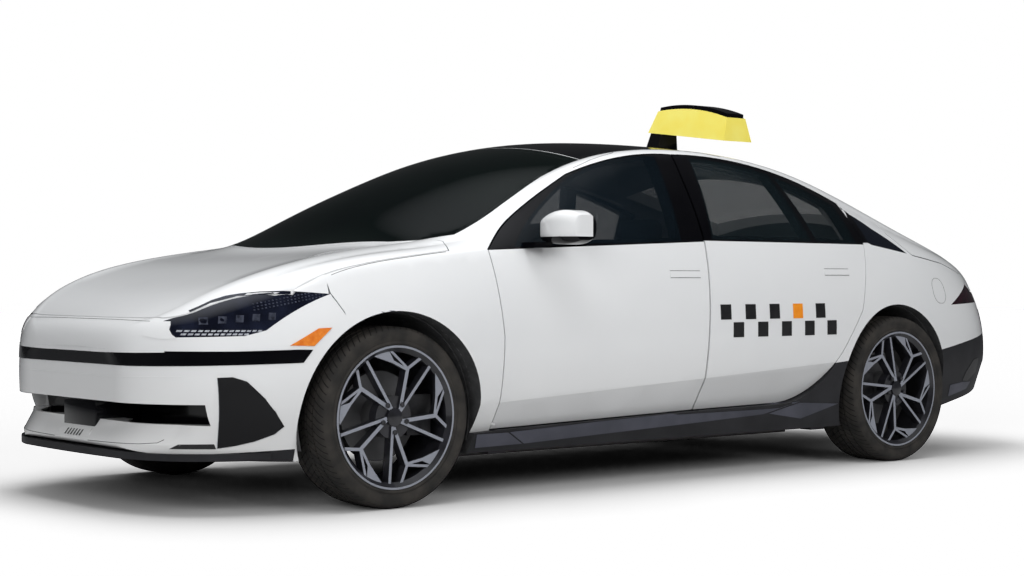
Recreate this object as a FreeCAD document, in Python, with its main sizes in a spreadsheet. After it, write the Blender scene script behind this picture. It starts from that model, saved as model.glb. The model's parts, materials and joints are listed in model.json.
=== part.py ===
"""Streamlined four-door electric saloon fitted out as a taxi cab.

+X points to the nose, +Y to the driver's left and +Z up, in millimetres. The
origin lies on the road in the middle of the car's length.
"""
import FreeCAD, Part
import math
import os

from FreeCAD import Vector

os.makedirs("parts", exist_ok=True)
doc = FreeCAD.newDocument("taxi_cab")

# ---------------------------------------------------------------- driving dimensions
SIZES = [
    # alias, millimetres, what it is
    ("body_length", 4855, "bumper to bumper"),
    ("body_width", 1880, "over the doors, without mirrors"),
    ("roof_height", 1495, "road to the top of the roof"),
    ("wheelbase", 2950, "axle to axle"),
    ("front_overhang", 880, "front axle to the nose"),
    ("wheel_track", 1604, "left tyre centre to right tyre centre"),
    ("tyre_radius", 345, "loaded radius, which is also the axle height"),
    ("tyre_width", 245, "across the side walls"),
    ("rim_radius", 272, "outside of the rim flange"),
    ("rim_bore", 246, "inside of the rim barrel"),
    ("rim_width", 226, "across the rim flanges"),
    ("spoke_depth", 52, "thickness of the wheel's centre"),
    ("spoke_inset", 14, "spoke face behind the rim's outer edge"),
    ("hub_radius", 82, "round pad that bolts to the hub"),
    ("hub_recess", 8, "hub pad behind the spoke face"),
    ("flange_face", 8, "bright face of the rim's edge"),
    ("arch_radius", 402, "wheel opening"),
    ("liner_wall", 5, "wheel liner thickness"),
    ("liner_inner", 440, "liner's inner wall from the middle of the car"),
    ("panel_gap", 5, "shut line between panels"),
    ("door_wall", 55, "door and panel thickness"),
    ("frame_gap", 6, "running gap between a door and its frame"),
    ("frame_wall", 42, "thickness of the frame behind the doors"),
    ("frame_lap", 30, "how far a door laps over its frame"),
    ("glass_wall", 6, "glass thickness"),
    ("floor_wall", 120, "floor above the bottom of the body"),
    ("skin_floor", 40, "depth of the panels that close the body from below"),
    ("seat_clearance", 0.3, "between pieces that sit against each other"),
    ("disc_radius", 172, "brake disc"),
    ("disc_wall", 24, "brake disc thickness"),
    ("steering_radius", 185, "steering wheel"),
    ("sign_width", 540, "roof sign, across the car"),
    ("sign_depth", 190, "roof sign, along the car"),
    ("sign_height", 112, "roof sign at its ends, without its cap"),
    ("sign_lift", 72, "roof sign above the roof"),
]
sheet = doc.addObject("Spreadsheet::Sheet", "sizes")
for row, (alias, value, meaning) in enumerate(SIZES, start=1):
    sheet.set(f"A{row}", meaning)
    sheet.set(f"B{row}", str(value))
    sheet.setAlias(f"B{row}", alias)
doc.recompute()


def size(alias):
    """The sheet's value of one driving dimension, as a plain number."""
    return float(sheet.get(alias))


# ---------------------------------------------------------------- the drawn car
# Stations, outlines and seats below are drawn on a car of these sizes, in which
# x = 0 is midway between the axles. along(), across() and up() give the real ones.
DRAWN_X = {"tail": -2500, "rear": -1475, "front": 1475, "nose": 2355}
DRAWN_HALF_WIDTH = 940
DRAWN_HEIGHT = 1495

NOSE_X = size("body_length") / 2
FRONT_X = NOSE_X - size("front_overhang")
REAR_X = FRONT_X - size("wheelbase")
TAIL_X = -size("body_length") / 2
AXLE_Z = size("tyre_radius")
WHEEL_Y = size("wheel_track") / 2
ANCHORS = [
    (DRAWN_X["tail"], TAIL_X),
    (DRAWN_X["rear"], REAR_X),
    (DRAWN_X["front"], FRONT_X),
    (DRAWN_X["nose"], NOSE_X),
]


def along(x):
    """Real x of a drawn x: linear between the tail, the axles and the nose."""
    for (low, real_low), (high, real_high) in zip(ANCHORS, ANCHORS[1:]):
        if x <= high or high == DRAWN_X["nose"]:
            return real_low + (x - low) * (real_high - real_low) / (high - low)


def across(y):
    return y * size("body_width") / 2 / DRAWN_HALF_WIDTH


def up(z):
    return z * size("roof_height") / DRAWN_HEIGHT


# Body sections, from nose to tail, on the left half. Each corner is (y, z); the
# bulges are how far the side, the window and the roof corner swell outwards.
STATIONS = [
    # x, sill, crease, belt, cant, rail, top z, (side, window, corner) bulge
    (2355, (250, 268), (330, 400), (335, 555), (295, 592), (210, 608), 614, (4, 2, 4)),
    (2349, (400, 246), (440, 380), (442, 584), (395, 628), (300, 648), 656, (7, 4, 5)),
    (2325, (475, 236), (515, 368), (515, 615), (468, 668), (380, 690), 700, (10, 5, 6)),
    (2262, (580, 226), (626, 360), (628, 648), (582, 708), (485, 728), 737, (16, 8, 8)),
    (2150, (690, 213), (738, 360), (735, 693), (680, 768), (580, 796), 794, (22, 12, 10)),
    (1960, (785, 200), (838, 370), (820, 788), (738, 860), (623, 876), 868, (30, 14, 10)),
    (1700, (840, 190), (895, 385), (860, 888), (765, 932), (620, 944), 940, (40, 12, 8)),
    (1430, (862, 185), (920, 397), (868, 936), (765, 972), (600, 988), 1004, (45, 12, 8)),
    (1150, (868, 185), (925, 405), (872, 968), (790, 1008), (700, 1032), 1160, (42, 6, 6)),
    (850, (870, 185), (926, 412), (880, 993), (775, 1095), (695, 1145), 1300, (38, 6, 8)),
    (500, (870, 185), (928, 420), (885, 1013), (748, 1288), (665, 1318), 1416, (36, 14, 10)),
    (200, (870, 185), (928, 428), (888, 1022), (735, 1385), (650, 1405), 1478, (35, 16, 10)),
    (-200, (870, 185), (928, 437), (888, 1028), (725, 1408), (645, 1440), 1495, (35, 16, 12)),
    (-600, (870, 185), (928, 447), (882, 1034), (715, 1385), (640, 1420), 1480, (35, 16, 12)),
    (-1000, (868, 185), (922, 458), (868, 1030), (705, 1315), (630, 1355), 1425, (36, 14, 12)),
    (-1400, (862, 190), (912, 465), (840, 1005), (695, 1195), (615, 1245), 1320, (38, 10, 12)),
    (-1750, (845, 222), (892, 465), (810, 965), (685, 1085), (595, 1130), 1195, (40, 8, 12)),
    (-2050, (805, 266), (855, 460), (762, 920), (670, 1000), (570, 1035), 1075, (40, 8, 10)),
    (-2280, (740, 304), (790, 455), (700, 850), (620, 935), (525, 965), 990, (36, 8, 8)),
    (-2420, (630, 345), (685, 458), (615, 770), (555, 865), (460, 900), 920, (24, 6, 6)),
    (-2480, (500, 388), (560, 470), (500, 710), (450, 785), (365, 815), 830, (14, 4, 5)),
    (-2500, (340, 430), (400, 490), (360, 670), (320, 720), (250, 738), 745, (6, 2, 3)),
]


def bulged(start, end, bulge):
    """Arc from start to end whose middle stands out by bulge, to the right of travel."""
    chord = end.sub(start)
    outward = Vector(0, chord.z, -chord.y).normalize()
    return Part.Arc(start, start.add(chord * 0.5).add(outward * bulge), end).toShape()


def section(station, side_inset, top_inset, floor_inset, x_shift):
    """Closed wire of the left half of one body section, drawn inwards by the insets."""
    x, *corners, top_z, bulges = station
    side_inset = min(side_inset, across(corners[1][0]) / 2)
    x = along(x) + x_shift
    points = []
    for index, (y, z) in enumerate(corners):
        lift = (floor_inset, floor_inset * 0.35, 0, -top_inset * 0.5, -top_inset)[index]
        points.append(Vector(x, across(y) - side_inset, up(z) + lift))
    foot = Vector(x, 0, points[0].z)
    crown = Vector(x, 0, up(top_z) - top_inset)
    rail = points[-1]
    rise = crown.z - rail.z
    crown_radius = (rail.y ** 2 + rise ** 2) / (2 * rise)
    half_angle = math.asin(rail.y / crown_radius) / 2
    crown_y = crown_radius * math.sin(half_angle)
    crown_z = crown.z - crown_radius * (1 - math.cos(half_angle))
    edges = [Part.makeLine(foot, points[0]), Part.makeLine(points[0], points[1])]
    for index, bulge in enumerate(bulges, start=1):
        edges.append(bulged(points[index], points[index + 1], bulge))
    edges.append(Part.Arc(rail, Vector(x, crown_y, crown_z), crown).toShape())
    edges.append(Part.makeLine(crown, foot))
    return Part.Wire(edges)


def hull(side_inset=0, top_inset=0, floor_inset=0, ends=0):
    """Left half of the body's solid, or of its inside when insets are given."""
    wires = []
    for station in STATIONS:
        if ends and station in (STATIONS[1], STATIONS[-2]):
            continue
        shift = {STATIONS[0][0]: -ends, STATIONS[-1][0]: ends}.get(station[0], 0)
        wires.append(section(station, side_inset, top_inset, floor_inset, shift))
    return Part.makeLoft(wires, True, False)


DOOR_WALL = size("door_wall")
SKIN_WALL = DOOR_WALL + size("frame_gap")
FRAME_WALL = SKIN_WALL + size("frame_wall")
GLASS_WALL = size("glass_wall")
GAP = size("panel_gap")
LAP = size("frame_lap")
TOP_SHARE = 0.5  # the roof is thinner than the sides by this share
END_SHARE = 1.6  # the ends are thicker than the sides, because they slope

outer = hull()
glass_core = hull(GLASS_WALL, GLASS_WALL, GLASS_WALL)
door_core = hull(DOOR_WALL, DOOR_WALL * TOP_SHARE, size("skin_floor"), DOOR_WALL * END_SHARE)
skin_core = hull(SKIN_WALL, SKIN_WALL * TOP_SHARE, size("skin_floor"), SKIN_WALL * END_SHARE)
cabin = hull(FRAME_WALL, FRAME_WALL * TOP_SHARE, size("floor_wall"), FRAME_WALL * END_SHARE)
door_shell = outer.cut(door_core)
fixed_shell = outer.cut(skin_core)

FAR = 3000  # beyond the car on every side


def pane_in(room):
    """The part of the body's outermost skin, as thin as glass, that lies in a room."""
    return outer.common(room).cut(glass_core)


# ---------------------------------------------------------------- outlines
def closed_wire(rows, place, grow):
    """Closed flat wire from rows of (a, b, bulge), carried into space by place.

    A bulge swells the edge that arrives at its row, outwards on a loop that runs
    anticlockwise. The whole outline is then grown by a distance, or shrunk.
    """
    edges = []
    for index, (a, b, bulge) in enumerate(rows):
        a_before, b_before, _ = rows[index - 1]
        if bulge == 0:
            edges.append(Part.makeLine(place(a_before, b_before), place(a, b)))
            continue
        share = bulge / math.hypot(a - a_before, b - b_before)
        middle_a = (a + a_before) / 2 + (b - b_before) * share
        middle_b = (b + b_before) / 2 - (a - a_before) * share
        points = (place(a_before, b_before), place(middle_a, middle_b), place(a, b))
        edges.append(Part.Arc(*points).toShape())
    wire = Part.Wire(edges)
    return wire.makeOffset2D(grow) if grow else wire


def side_prism(rows, low=0, high=FAR, grow=0):
    """Solid that stands on a side-view outline, from y = low to y = high."""
    wire = closed_wire(rows, lambda x, z: Vector(along(x), low, up(z)), grow)
    return Part.Face(wire).extrude(Vector(0, high - low, 0))


def plan_prism(rows, low=-FAR, high=FAR, grow=0, rear_bulge=0):
    """Solid that stands on a plan-view outline of both halves of the car.

    The rows hold the left half, from its front to its rear. The first bulge is
    that of the edge across the front, and rear_bulge that of the edge across the rear.
    """
    bulges = [row[2] for row in rows[1:]]
    right = [(x, -y, bulge) for (x, y, _), bulge in zip(reversed(rows), [rear_bulge] + bulges[::-1])]
    wire = closed_wire(rows + right, lambda x, y: Vector(along(x), across(y), low), grow)
    return Part.Face(wire).extrude(Vector(0, 0, high - low))


def mirror_y(shape):
    return shape.mirror(Vector(0, 0, 0), Vector(0, 1, 0))


def box(x, y, z):
    """Box from three (low, high) pairs."""
    corner = Vector(x[0], y[0], z[0])
    return Part.makeBox(x[1] - x[0], y[1] - y[0], z[1] - z[0], corner)


# Side outlines: (x, z, bulge). Plan outlines: (x, y, bulge), left half only.
FRONT_DOOR = [
    (982, 272, 0), (972, 640, 0), (1002, 984, 0), (480, 1304, 12), (-148, 1414, 30),
    (-155, 1300, 0), (-190, 1022, 0), (-164, 647, 0), (-146, 299, 0),
]
REAR_DOOR = [
    (-151, 299, 0), (-169, 647, 0), (-195, 1022, 0), (-160, 1300, 0), (-153, 1414, 0),
    (-1262, 1228, 57), (-1312, 1040, 0), (-1285, 960, 0), (-1202, 723, 0),
    (-1107, 601, 0), (-1005, 480, 4), (-682, 306, 42),
]
FRONT_GLASS = [(868, 996, 0), (480, 1291, 14), (-36, 1400, 30), (-50, 1030, 0), (440, 1015, 0)]
REAR_GLASS = [(-243, 1040, 0), (-252, 1400, 0), (-770, 1347, 14), (-905, 1042, 0)]
REAR_DOOR_QUARTER = [(-940, 1042, 0), (-800, 1338, 0), (-1205, 1216, 8), (-1250, 1032, 0)]
FIXED_QUARTER = [(-1352, 1040, 0), (-1318, 1180, 0), (-1462, 1110, 4), (-1670, 992, 6), (-1380, 1030, 0)]
WINDSHIELD = [(1290, 606, 160), (1078, 752, 14), (800, 700, 0), (560, 668, 0), (330, 658, 0)]
ROOF = [(325, 657, 0), (90, 650, 0), (-280, 645, 0), (-700, 618, 0), (-1010, 585, 0)]
REAR_WINDOW = [(-1015, 585, 0), (-1400, 556, 0), (-1715, 520, 0)]
REAR_WINDOW_BULGE = 16
HOOD = [
    (2262, 540, 30), (2185, 655, 10), (2060, 742, 0), (1950, 814, 0), (1890, 838, 0),
    (1600, 853, 0), (1182, 854, 0), (1150, 775, 0), (1190, 716, 0), (1300, 612, 0),
]
HOOD_REAR_BULGE = -160
HOOD_HEM = 60
HEADLAMP = [
    (2290, 690, 0), (2279, 655, 0), (2068, 661, 0), (1997, 681, 0), (1750, 812, 12),
    (1850, 828, 0), (1960, 822, 0), (2060, 803, 0), (2140, 775, 0), (2266, 714, 0),
]
FENDER = [(982, 250, 0), (972, 640, 0), (1002, 984, 0), (1178, 966, 0), (1178, 1150, 0), (1880, 1150, 0), (1880, 250, 0)]
BUMPER = [
    (1475, 100, 0), (2500, 100, 0), (2500, 900, 0), (1770, 900, 0), (1752, 814, 0),
    (1672, 690, 0), (1475, 690, 0),
]
BUMPER_FLOOR_X = 1885
STRIP = [(2500, 565, 0), (2500, 605, 0), (1868, 605, 0), (1905, 565, 0)]
INTAKE = [(2500, 335, 0), (2500, 412, 0), (2120, 412, 0), (2120, 335, 0)]
SILL = [
    (1110, 100, 0), (1110, 262, 0), (984, 268, 0), (984, 300, 0), (-700, 340, 0),
    (-1005, 482, 0), (-1150, 492, 0), (-1150, 100, 0),
]
JACK_X = (-950, 950)
JACK_Y = (800, 866)
JACK_Z = 176
SPLITTER = [(1870, 100, 0), (1870, 243, 0), (2150, 232, 0), (2500, 232, 0), (2500, 100, 0)]
SPLITTER_LIP = [(2352, 410, 14), (2292, 575, 6), (2180, 702, 12), (1960, 806, 10)]
SPLITTER_Z = (206, 232)
VALANCE = [(-1760, 100, 0), (-1760, 512, 0), (-2300, 590, 0), (-2600, 618, 0), (-2600, 100, 0)]
REAR_BUMPER = [(-1760, 100, 0), (-1760, 690, 0), (-1950, 736, 0), (-2250, 744, 0), (-2600, 744, 0), (-2600, 100, 0)]
TAIL_LAMP = [(-1950, 741, 0), (-2196, 842, 0), (-2262, 800, 0), (-2600, 800, 0), (-2600, 749, 0), (-2250, 749, 0)]
TRUNK_SIDE = [
    (-1560, 1500, 0), (-1585, 1092, 0), (-1715, 984, 0), (-1990, 946, 0), (-2200, 890, 0),
    (-2204, 846, 0), (-2262, 805, 0), (-2600, 805, 0), (-2600, 1500, 0),
]
TRUNK_PLAN = [(-1722, 528, -18), (-1600, 575, 0), (-1560, 900, 0), (-2600, 900, 0)]


# ---------------------------------------------------------------- wheel openings
ARCH = size("arch_radius")
LINER_Y = size("liner_inner")
LINER_WALL = size("liner_wall")
FIT = size("seat_clearance")
AXLES = {"front": FRONT_X, "rear": REAR_X}
SIDES = {"left": 1, "right": -1}


def across_cylinder(x, z, radius, low, high):
    """Cylinder along Y on the left side."""
    return Part.makeCylinder(radius, high - low, Vector(x, low, z), Vector(0, 1, 0))


arches = {}
liners = []
for axle, axle_x in AXLES.items():
    arches[axle] = across_cylinder(axle_x, AXLE_Z, ARCH, LINER_Y, FAR)
    outside = across_cylinder(axle_x, AXLE_Z, ARCH - FIT, LINER_Y + FIT, across(846))
    inside = across_cylinder(axle_x, AXLE_Z, ARCH - LINER_WALL, LINER_Y + LINER_WALL, FAR)
    liner = outside.cut(inside)
    liner = liner.cut(box((axle_x - ARCH, axle_x + ARCH), (0, FAR), (-ARCH, up(235))))
    liner = liner.cut(box((axle_x - 130, axle_x + 130), (0, LINER_Y + 2 * LINER_WALL), (0, AXLE_Z + 175)))
    liners.append(liner)


PANEL_LEAST = 1000000  # volume under which a piece of a large panel is a sliver


def solids_of(shape, least=20000):
    """The shape's solids, without slivers."""
    solids = [solid for solid in shape.Solids if solid.Volume > least]
    return Part.makeCompound(solids) if len(solids) > 1 else solids[0]


def pair(shape):
    """The left piece and its mirror image, as separate solids."""
    return Part.makeCompound(shape.Solids + mirror_y(shape).Solids)


def whole(shape):
    """A piece that crosses the middle of the car, from its left half."""
    return solids_of(shape.fuse(mirror_y(shape)))


SUBFRAME_REACH = 320
bays = []
for axle_x in AXLES.values():
    reach = (axle_x - SUBFRAME_REACH, axle_x + SUBFRAME_REACH)
    bays.append(box(reach, (0, LINER_Y), (0, up(360))))

# ---------------------------------------------------------------- panels
nodes = {}

# The hood moves forward as it lifts, so only a thin skin reaches its shut line and
# the inner panel stays back from it, except where the hinges carry it.
hood_skin = pane_in(plan_prism(HOOD, up(600), FAR, -GAP / 2, HOOD_REAR_BULGE))
hood_inner = door_shell.common(plan_prism(HOOD, up(600), FAR, -HOOD_HEM, HOOD_REAR_BULGE))
hinge_room = box((along(1150), along(1330)), (across(725), across(810)), (up(800), FAR))
hood_hinge = door_shell.common(plan_prism(HOOD, up(600), FAR, -GAP / 2, HOOD_REAR_BULGE))
hood_hinge = hood_hinge.common(hinge_room)
hood_room = fixed_shell.common(plan_prism(HOOD, up(600), FAR, GAP / 2, HOOD_REAR_BULGE))
nodes["hood"] = whole(hood_skin.fuse([hood_inner, hood_hinge]))

lamp = solids_of(fixed_shell.common(side_prism(HEADLAMP)).cut(hood_room))
lamp_room = fixed_shell.common(side_prism(HEADLAMP, grow=FIT)).cut(hood_room)
nodes["headlamps"] = pair(lamp)

trunk_solid = side_prism(TRUNK_SIDE, grow=-GAP / 2).common(plan_prism(TRUNK_PLAN, 0, FAR, -GAP / 2))
trunk_space = side_prism(TRUNK_SIDE, grow=GAP / 2).common(plan_prism(TRUNK_PLAN, 0, FAR, GAP / 2))
nodes["trunk_lid"] = whole(door_shell.common(trunk_solid))
trunk_room = fixed_shell.common(trunk_space)

nose_shell = fixed_shell.common(side_prism(BUMPER)).cut(arches["front"])
splitter_room = side_prism(SPLITTER)
lip = plan_prism(SPLITTER_LIP, up(SPLITTER_Z[0]), up(SPLITTER_Z[1]))
lip = lip.common(box((-FAR, FAR), (0, FAR), (0, FAR))).cut(arches["front"])
splitter = nose_shell.common(splitter_room).fuse(lip)
strip = nose_shell.common(side_prism(STRIP))
intake_room = side_prism(INTAKE, 0, across(720))
strip_room = side_prism(STRIP, grow=FIT)
bumper_space = nose_shell.cut(box((-FAR, along(BUMPER_FLOOR_X)), (0, LINER_Y), (0, FAR)))
bumper = bumper_space.cut([hood_room, lamp_room, splitter_room, intake_room, strip_room])
bumper = solids_of(bumper, PANEL_LEAST)
nodes["front_bumper"] = whole(bumper)
intake_panel = box(
    (along(2120) - FIT - 20, along(2120) - FIT), (0, across(700)), (up(335) - LAP, up(412) + LAP)
)
intake_panel = intake_panel.cut(bumper)
nodes["bumper_trim"] = Part.makeCompound([whole(strip), whole(intake_panel)])

door_room = {}
door_frame = {}
for place, rows in (("front", FRONT_DOOR), ("rear", REAR_DOOR)):
    door_room[place] = fixed_shell.common(side_prism(rows, grow=GAP / 2))
    door_frame[place] = side_prism(rows, grow=-LAP)

fender = fixed_shell.common(side_prism(FENDER, across(700)))
fender = fender.cut([hood_room, lamp_room, arches["front"], door_room["front"], side_prism(SILL)])
fender = fender.cut([side_prism(BUMPER, grow=GAP), plan_prism(WINDSHIELD, up(900), FAR, GAP)])
fender = solids_of(fender)
nodes["front_fenders"] = pair(fender)

cladding_space = side_prism(SILL, across(790))
sill = fixed_shell.common(cladding_space)
sill = solids_of(sill.cut(list(arches.values()) + list(door_room.values())))
for jack_x in JACK_X:
    sill = sill.fuse(box((along(jack_x - 45), along(jack_x + 45)), JACK_Y, (up(JACK_Z), up(200))))
tail_shell = fixed_shell.common(box((-FAR, along(-1560)), (0, FAR), (0, FAR))).cut(arches["rear"])
valance_room = side_prism(VALANCE)
valance = tail_shell.common(valance_room).cut(bays)
nodes["lower_cladding"] = Part.makeCompound([whole(splitter), whole(valance)] + pair(sill).Solids)

tail_lamp_room = tail_shell.common(side_prism(TAIL_LAMP, across(480))).cut(trunk_space)
nodes["tail_lamps"] = pair(solids_of(tail_lamp_room))
rear_bumper = tail_shell.common(side_prism(REAR_BUMPER))
rear_bumper = rear_bumper.cut([valance_room, tail_lamp_room, trunk_space])
nodes["rear_bumper"] = whole(rear_bumper)

# glass that closes the body, laid on a rebate of its own thickness
windshield_room = plan_prism(WINDSHIELD, up(900), FAR, GAP / 2)
roof_room = plan_prism(ROOF, up(900), FAR, GAP / 2)
rear_window_room = plan_prism(REAR_WINDOW, up(900), FAR, GAP / 2, REAR_WINDOW_BULGE)
top_glass = {
    "windshield": (WINDSHIELD, 0),
    "roof_panel": (ROOF, 0),
    "rear_window": (REAR_WINDOW, REAR_WINDOW_BULGE),
}
frame_cuts = []
for name, (rows, bulge) in top_glass.items():
    pane = pane_in(plan_prism(rows, up(900), FAR, 0, bulge))
    nodes[name] = whole(pane)
    frame_cuts.append(pane)
    if name != "roof_panel":
        frame_cuts.append(plan_prism(rows, up(1000), FAR, -LAP, bulge))
quarter = pane_in(side_prism(FIXED_QUARTER))
nodes["quarter_windows"] = pair(quarter)

# doors and their glass
for place, rows, panes in (
    ("front", FRONT_DOOR, (FRONT_GLASS,)),
    ("rear", REAR_DOOR, (REAR_GLASS, REAR_DOOR_QUARTER)),
):
    door = door_shell.common(side_prism(rows, grow=-GAP / 2))
    glass = []
    for pane_rows in panes:
        pane = pane_in(side_prism(pane_rows))
        glass += pane.Solids
        door = door.cut([pane, side_prism(pane_rows, grow=-LAP / 2)])
    door = door.cut([windshield_room, roof_room, arches["rear"]])
    door = solids_of(door)
    glass = Part.makeCompound(glass)
    nodes[f"door_{place}_left"] = door
    nodes[f"door_{place}_right"] = mirror_y(door)
    nodes[f"door_glass_{place}_left"] = glass
    nodes[f"door_glass_{place}_right"] = mirror_y(glass)

# the frame that carries them: the whole wall, less what sits in it
frame = outer.cut(cabin)
frame = frame.cut(list(arches.values()) + [door_room["front"], door_room["rear"]])
frame = frame.cut([door_frame["front"], door_frame["rear"]])
frame = frame.cut([hood_room, trunk_room, quarter] + frame_cuts)
frame = frame.cut(plan_prism(HOOD, up(600), FAR, -LAP, HOOD_REAR_BULGE))
frame = frame.cut(
    side_prism(TRUNK_SIDE, grow=-LAP).common(plan_prism(TRUNK_PLAN, up(700), FAR, -LAP))
)
for panel in (fender, lamp, bumper_space, splitter, sill, valance, tail_lamp_room, rear_bumper):
    frame = frame.cut(panel)
frame = frame.cut(box((along(1700), FAR), (0, FAR), (0, FAR)))
frame = frame.cut(bays)
# hinge plates: where the doors and lids meet the frame beside their axes
leaf_core = hull(DOOR_WALL + FIT, DOOR_WALL * TOP_SHARE + FIT, size("skin_floor"), DOOR_WALL * END_SHARE)
leaves = []
for x, heights in ((975, (430, 800)), (-172, (430, 800))):
    for z in heights:
        leaves.append(box((along(x - 26), along(x)), (0, FAR), (up(z), up(z + 80))))
leaves.append(box((along(1162), along(1200)), (across(735), across(800)), (up(900), FAR)))
leaves.append(box((along(-1655), along(-1622)), (across(560), across(600)), (up(1000), FAR)))
frame = frame.fuse([leaf_core.common(leaf).cut(skin_core) for leaf in leaves])
nodes["body_frame"] = whole(solids_of(frame))

# ---------------------------------------------------------------- cabin and bays
FLOOR_Z = up(185) + size("floor_wall")
BOTTOM_Z = up(185)


def inside(x, y, z):
    """Block of drawn (low, high) pairs, cut to the inside of the frame."""
    block = box([along(v) for v in x], [across(v) for v in y], [up(v) for v in z])
    return cabin.common(block)


firewall = inside((1085, 1110), (0, 940), (150, 1495)).cut(arches["front"])
nodes["firewall"] = whole(firewall)
nodes["dashboard"] = whole(inside((690, 1080), (0, 940), (650, 905)))
nodes["front_bay_cover"] = whole(inside((1120, 1690), (0, 940), (650, 672)).cut(arches["front"]))
nodes["luggage_floor"] = whole(inside((-2300, -1100), (0, 440), (575, 595)))


def seat(rear_x, front_x, inner_y, outer_y, cushion_z, shoulder_z, back_wall, recline):
    """Cushion and leaning back of a seat, in one piece, from its side view."""
    rows = [
        (rear_x, FLOOR_Z + FIT), (front_x - 60, FLOOR_Z + FIT), (front_x, up(cushion_z - 70)),
        (front_x - 30, up(cushion_z)), (rear_x + back_wall, up(cushion_z - 30)),
        (rear_x + back_wall * 0.8 - recline, up(shoulder_z)), (rear_x - recline, up(shoulder_z)),
    ]
    points = [Vector(along(x), across(inner_y), z) for x, z in rows]
    face = Part.Face(Part.makePolygon(points + points[:1]))
    return face.extrude(Vector(0, across(outer_y) - across(inner_y), 0))


def headrest(rear_x, middle_y, shoulder_z, top_z):
    """Pad above a seat's back, with the neck that carries it."""
    pad = box(
        (along(rear_x), along(rear_x + 95)), (across(middle_y - 130), across(middle_y + 130)),
        (up(shoulder_z + 20), up(top_z)),
    )
    neck = box(
        (along(rear_x + 20), along(rear_x + 75)), (across(middle_y - 60), across(middle_y + 60)),
        (up(shoulder_z - 20), up(shoulder_z + 30)),
    )
    return pad.fuse(neck)


front_seat = seat(-230, 300, 120, 620, 560, 1000, 140, 110)
nodes["front_seats"] = pair(front_seat.fuse(headrest(-345, 370, 1000, 1150)))
rear_seat = seat(-1010, -430, 0, 620, 560, 930, 150, 40)
nodes["rear_seat"] = whole(rear_seat.fuse(headrest(-1050, 370, 930, 1060)))

steering_centre = Vector(along(455), across(370), up(800))
column_foot = Vector(along(700), across(370), up(735))
column = column_foot.sub(steering_centre)
ring = Part.makeTorus(size("steering_radius") - 16, 16, steering_centre, column)
boss = Part.makeCylinder(48, 40, steering_centre, column)
shaft = Part.makeCylinder(24, column.Length, steering_centre, column)
spokes = Part.makeBox(16, 2 * size("steering_radius") - 40, 30, Vector(-8, 20 - size("steering_radius"), -15))
spokes.Placement = FreeCAD.Placement(steering_centre, FreeCAD.Rotation(Vector(1, 0, 0), column))
steering = ring.fuse([boss, shaft, spokes]).cut(nodes["dashboard"])
nodes["steering_wheel"] = solids_of(steering)

# ---------------------------------------------------------------- running gear
HUB_BORE = 30.1
SPINDLE = 30
KINGPIN_Y = 740
KNUCKLE_Y = (700, 752)
KNUCKLE_RISE = 120
DISC_Y = (770, 770 + size("disc_wall"))
SPOKE_Y = WHEEL_Y + size("rim_width") / 2 - size("spoke_inset") - size("spoke_depth")
BORE_END_Y = SPOKE_Y + size("spoke_depth") - 2 * size("hub_recess")
STUB_END_GAP = 4
ARM_HALF = 30
ARM_END_Y = KINGPIN_Y + 8
ARM_WALL = 20


def bound(kind, label, spot, rotation=FreeCAD.Rotation(), **cells):
    """A Part primitive whose properties follow the sheet."""
    item = doc.addObject(kind, label)
    item.Placement = FreeCAD.Placement(spot, rotation)
    for name, expression in cells.items():
        item.setExpression(name, expression)
    return item


def joined(kind, label, *items):
    """A Part boolean of features already in the document."""
    result = doc.addObject(kind, label)
    if kind == "Part::Cut":
        result.Base, result.Tool = items
    else:
        result.Shapes = list(items)
    return result


# One fifth of the wheel's face, as (share of the rim's bore, degrees) seen from
# outside: struts run between two points and have a width, and a blade closes it.
KNEE = (0.785, 22.9)
STRUTS = [
    ((0.16, -8), (1.03, 0), 12),
    ((0.175, 3), KNEE, 15),
    (KNEE, (1.03, 12.2), 12),
    (KNEE, (1.03, 45.6), 10),
]
BLADE = [(0.745, 24.6), (0.838, 44.4), (1.03, 64.3), (1.03, 47.2), (0.874, 42.3), (0.79, 25.6)]
BLADE_WALL = 16
FIRST_STRUT = {"front": -95.4, "rear": -115.6}


def face_point(share, degrees, y):
    """Point on the wheel's face; zero degrees points aft and 90 degrees up."""
    radius = share * size("rim_bore")
    turn = math.radians(degrees)
    return Vector(-radius * math.cos(turn), y, radius * math.sin(turn))


def slab(points, wall):
    """Plate of a given wall on a closed outline."""
    return Part.Face(Part.makePolygon(points + points[:1])).extrude(Vector(0, wall, 0))


def strut(start, end, width, wall):
    """Straight bar that runs a third of its width past both ends."""
    along_bar = end.sub(start).normalize()
    side = Vector(along_bar.z, 0, -along_bar.x) * (width / 2)
    start = start.sub(along_bar * (width / 3))
    end = end.add(along_bar * (width / 3))
    return slab([start.add(side), end.add(side), end.sub(side), start.sub(side)], wall)


def spoked_centre(hub_y, first):
    """Hub pad and five groups of struts, between the hub and the rim's bore."""
    depth = size("spoke_depth")
    pad_wall = depth - size("hub_recess")
    pad = across_cylinder(0, 0, size("hub_radius"), hub_y, hub_y + pad_wall)
    bars = []
    for number in range(5):
        turn = first + 72 * number
        for (inner, a), (outer_end, b), width in STRUTS:
            low = hub_y + 12
            start = face_point(inner, a + turn, low)
            bars.append(strut(start, face_point(outer_end, b + turn, low), width, depth - 12))
        low = hub_y + depth - BLADE_WALL
        bars.append(slab([face_point(share, a + turn, low) for share, a in BLADE], BLADE_WALL))
    return pad.fuse(bars)


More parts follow.
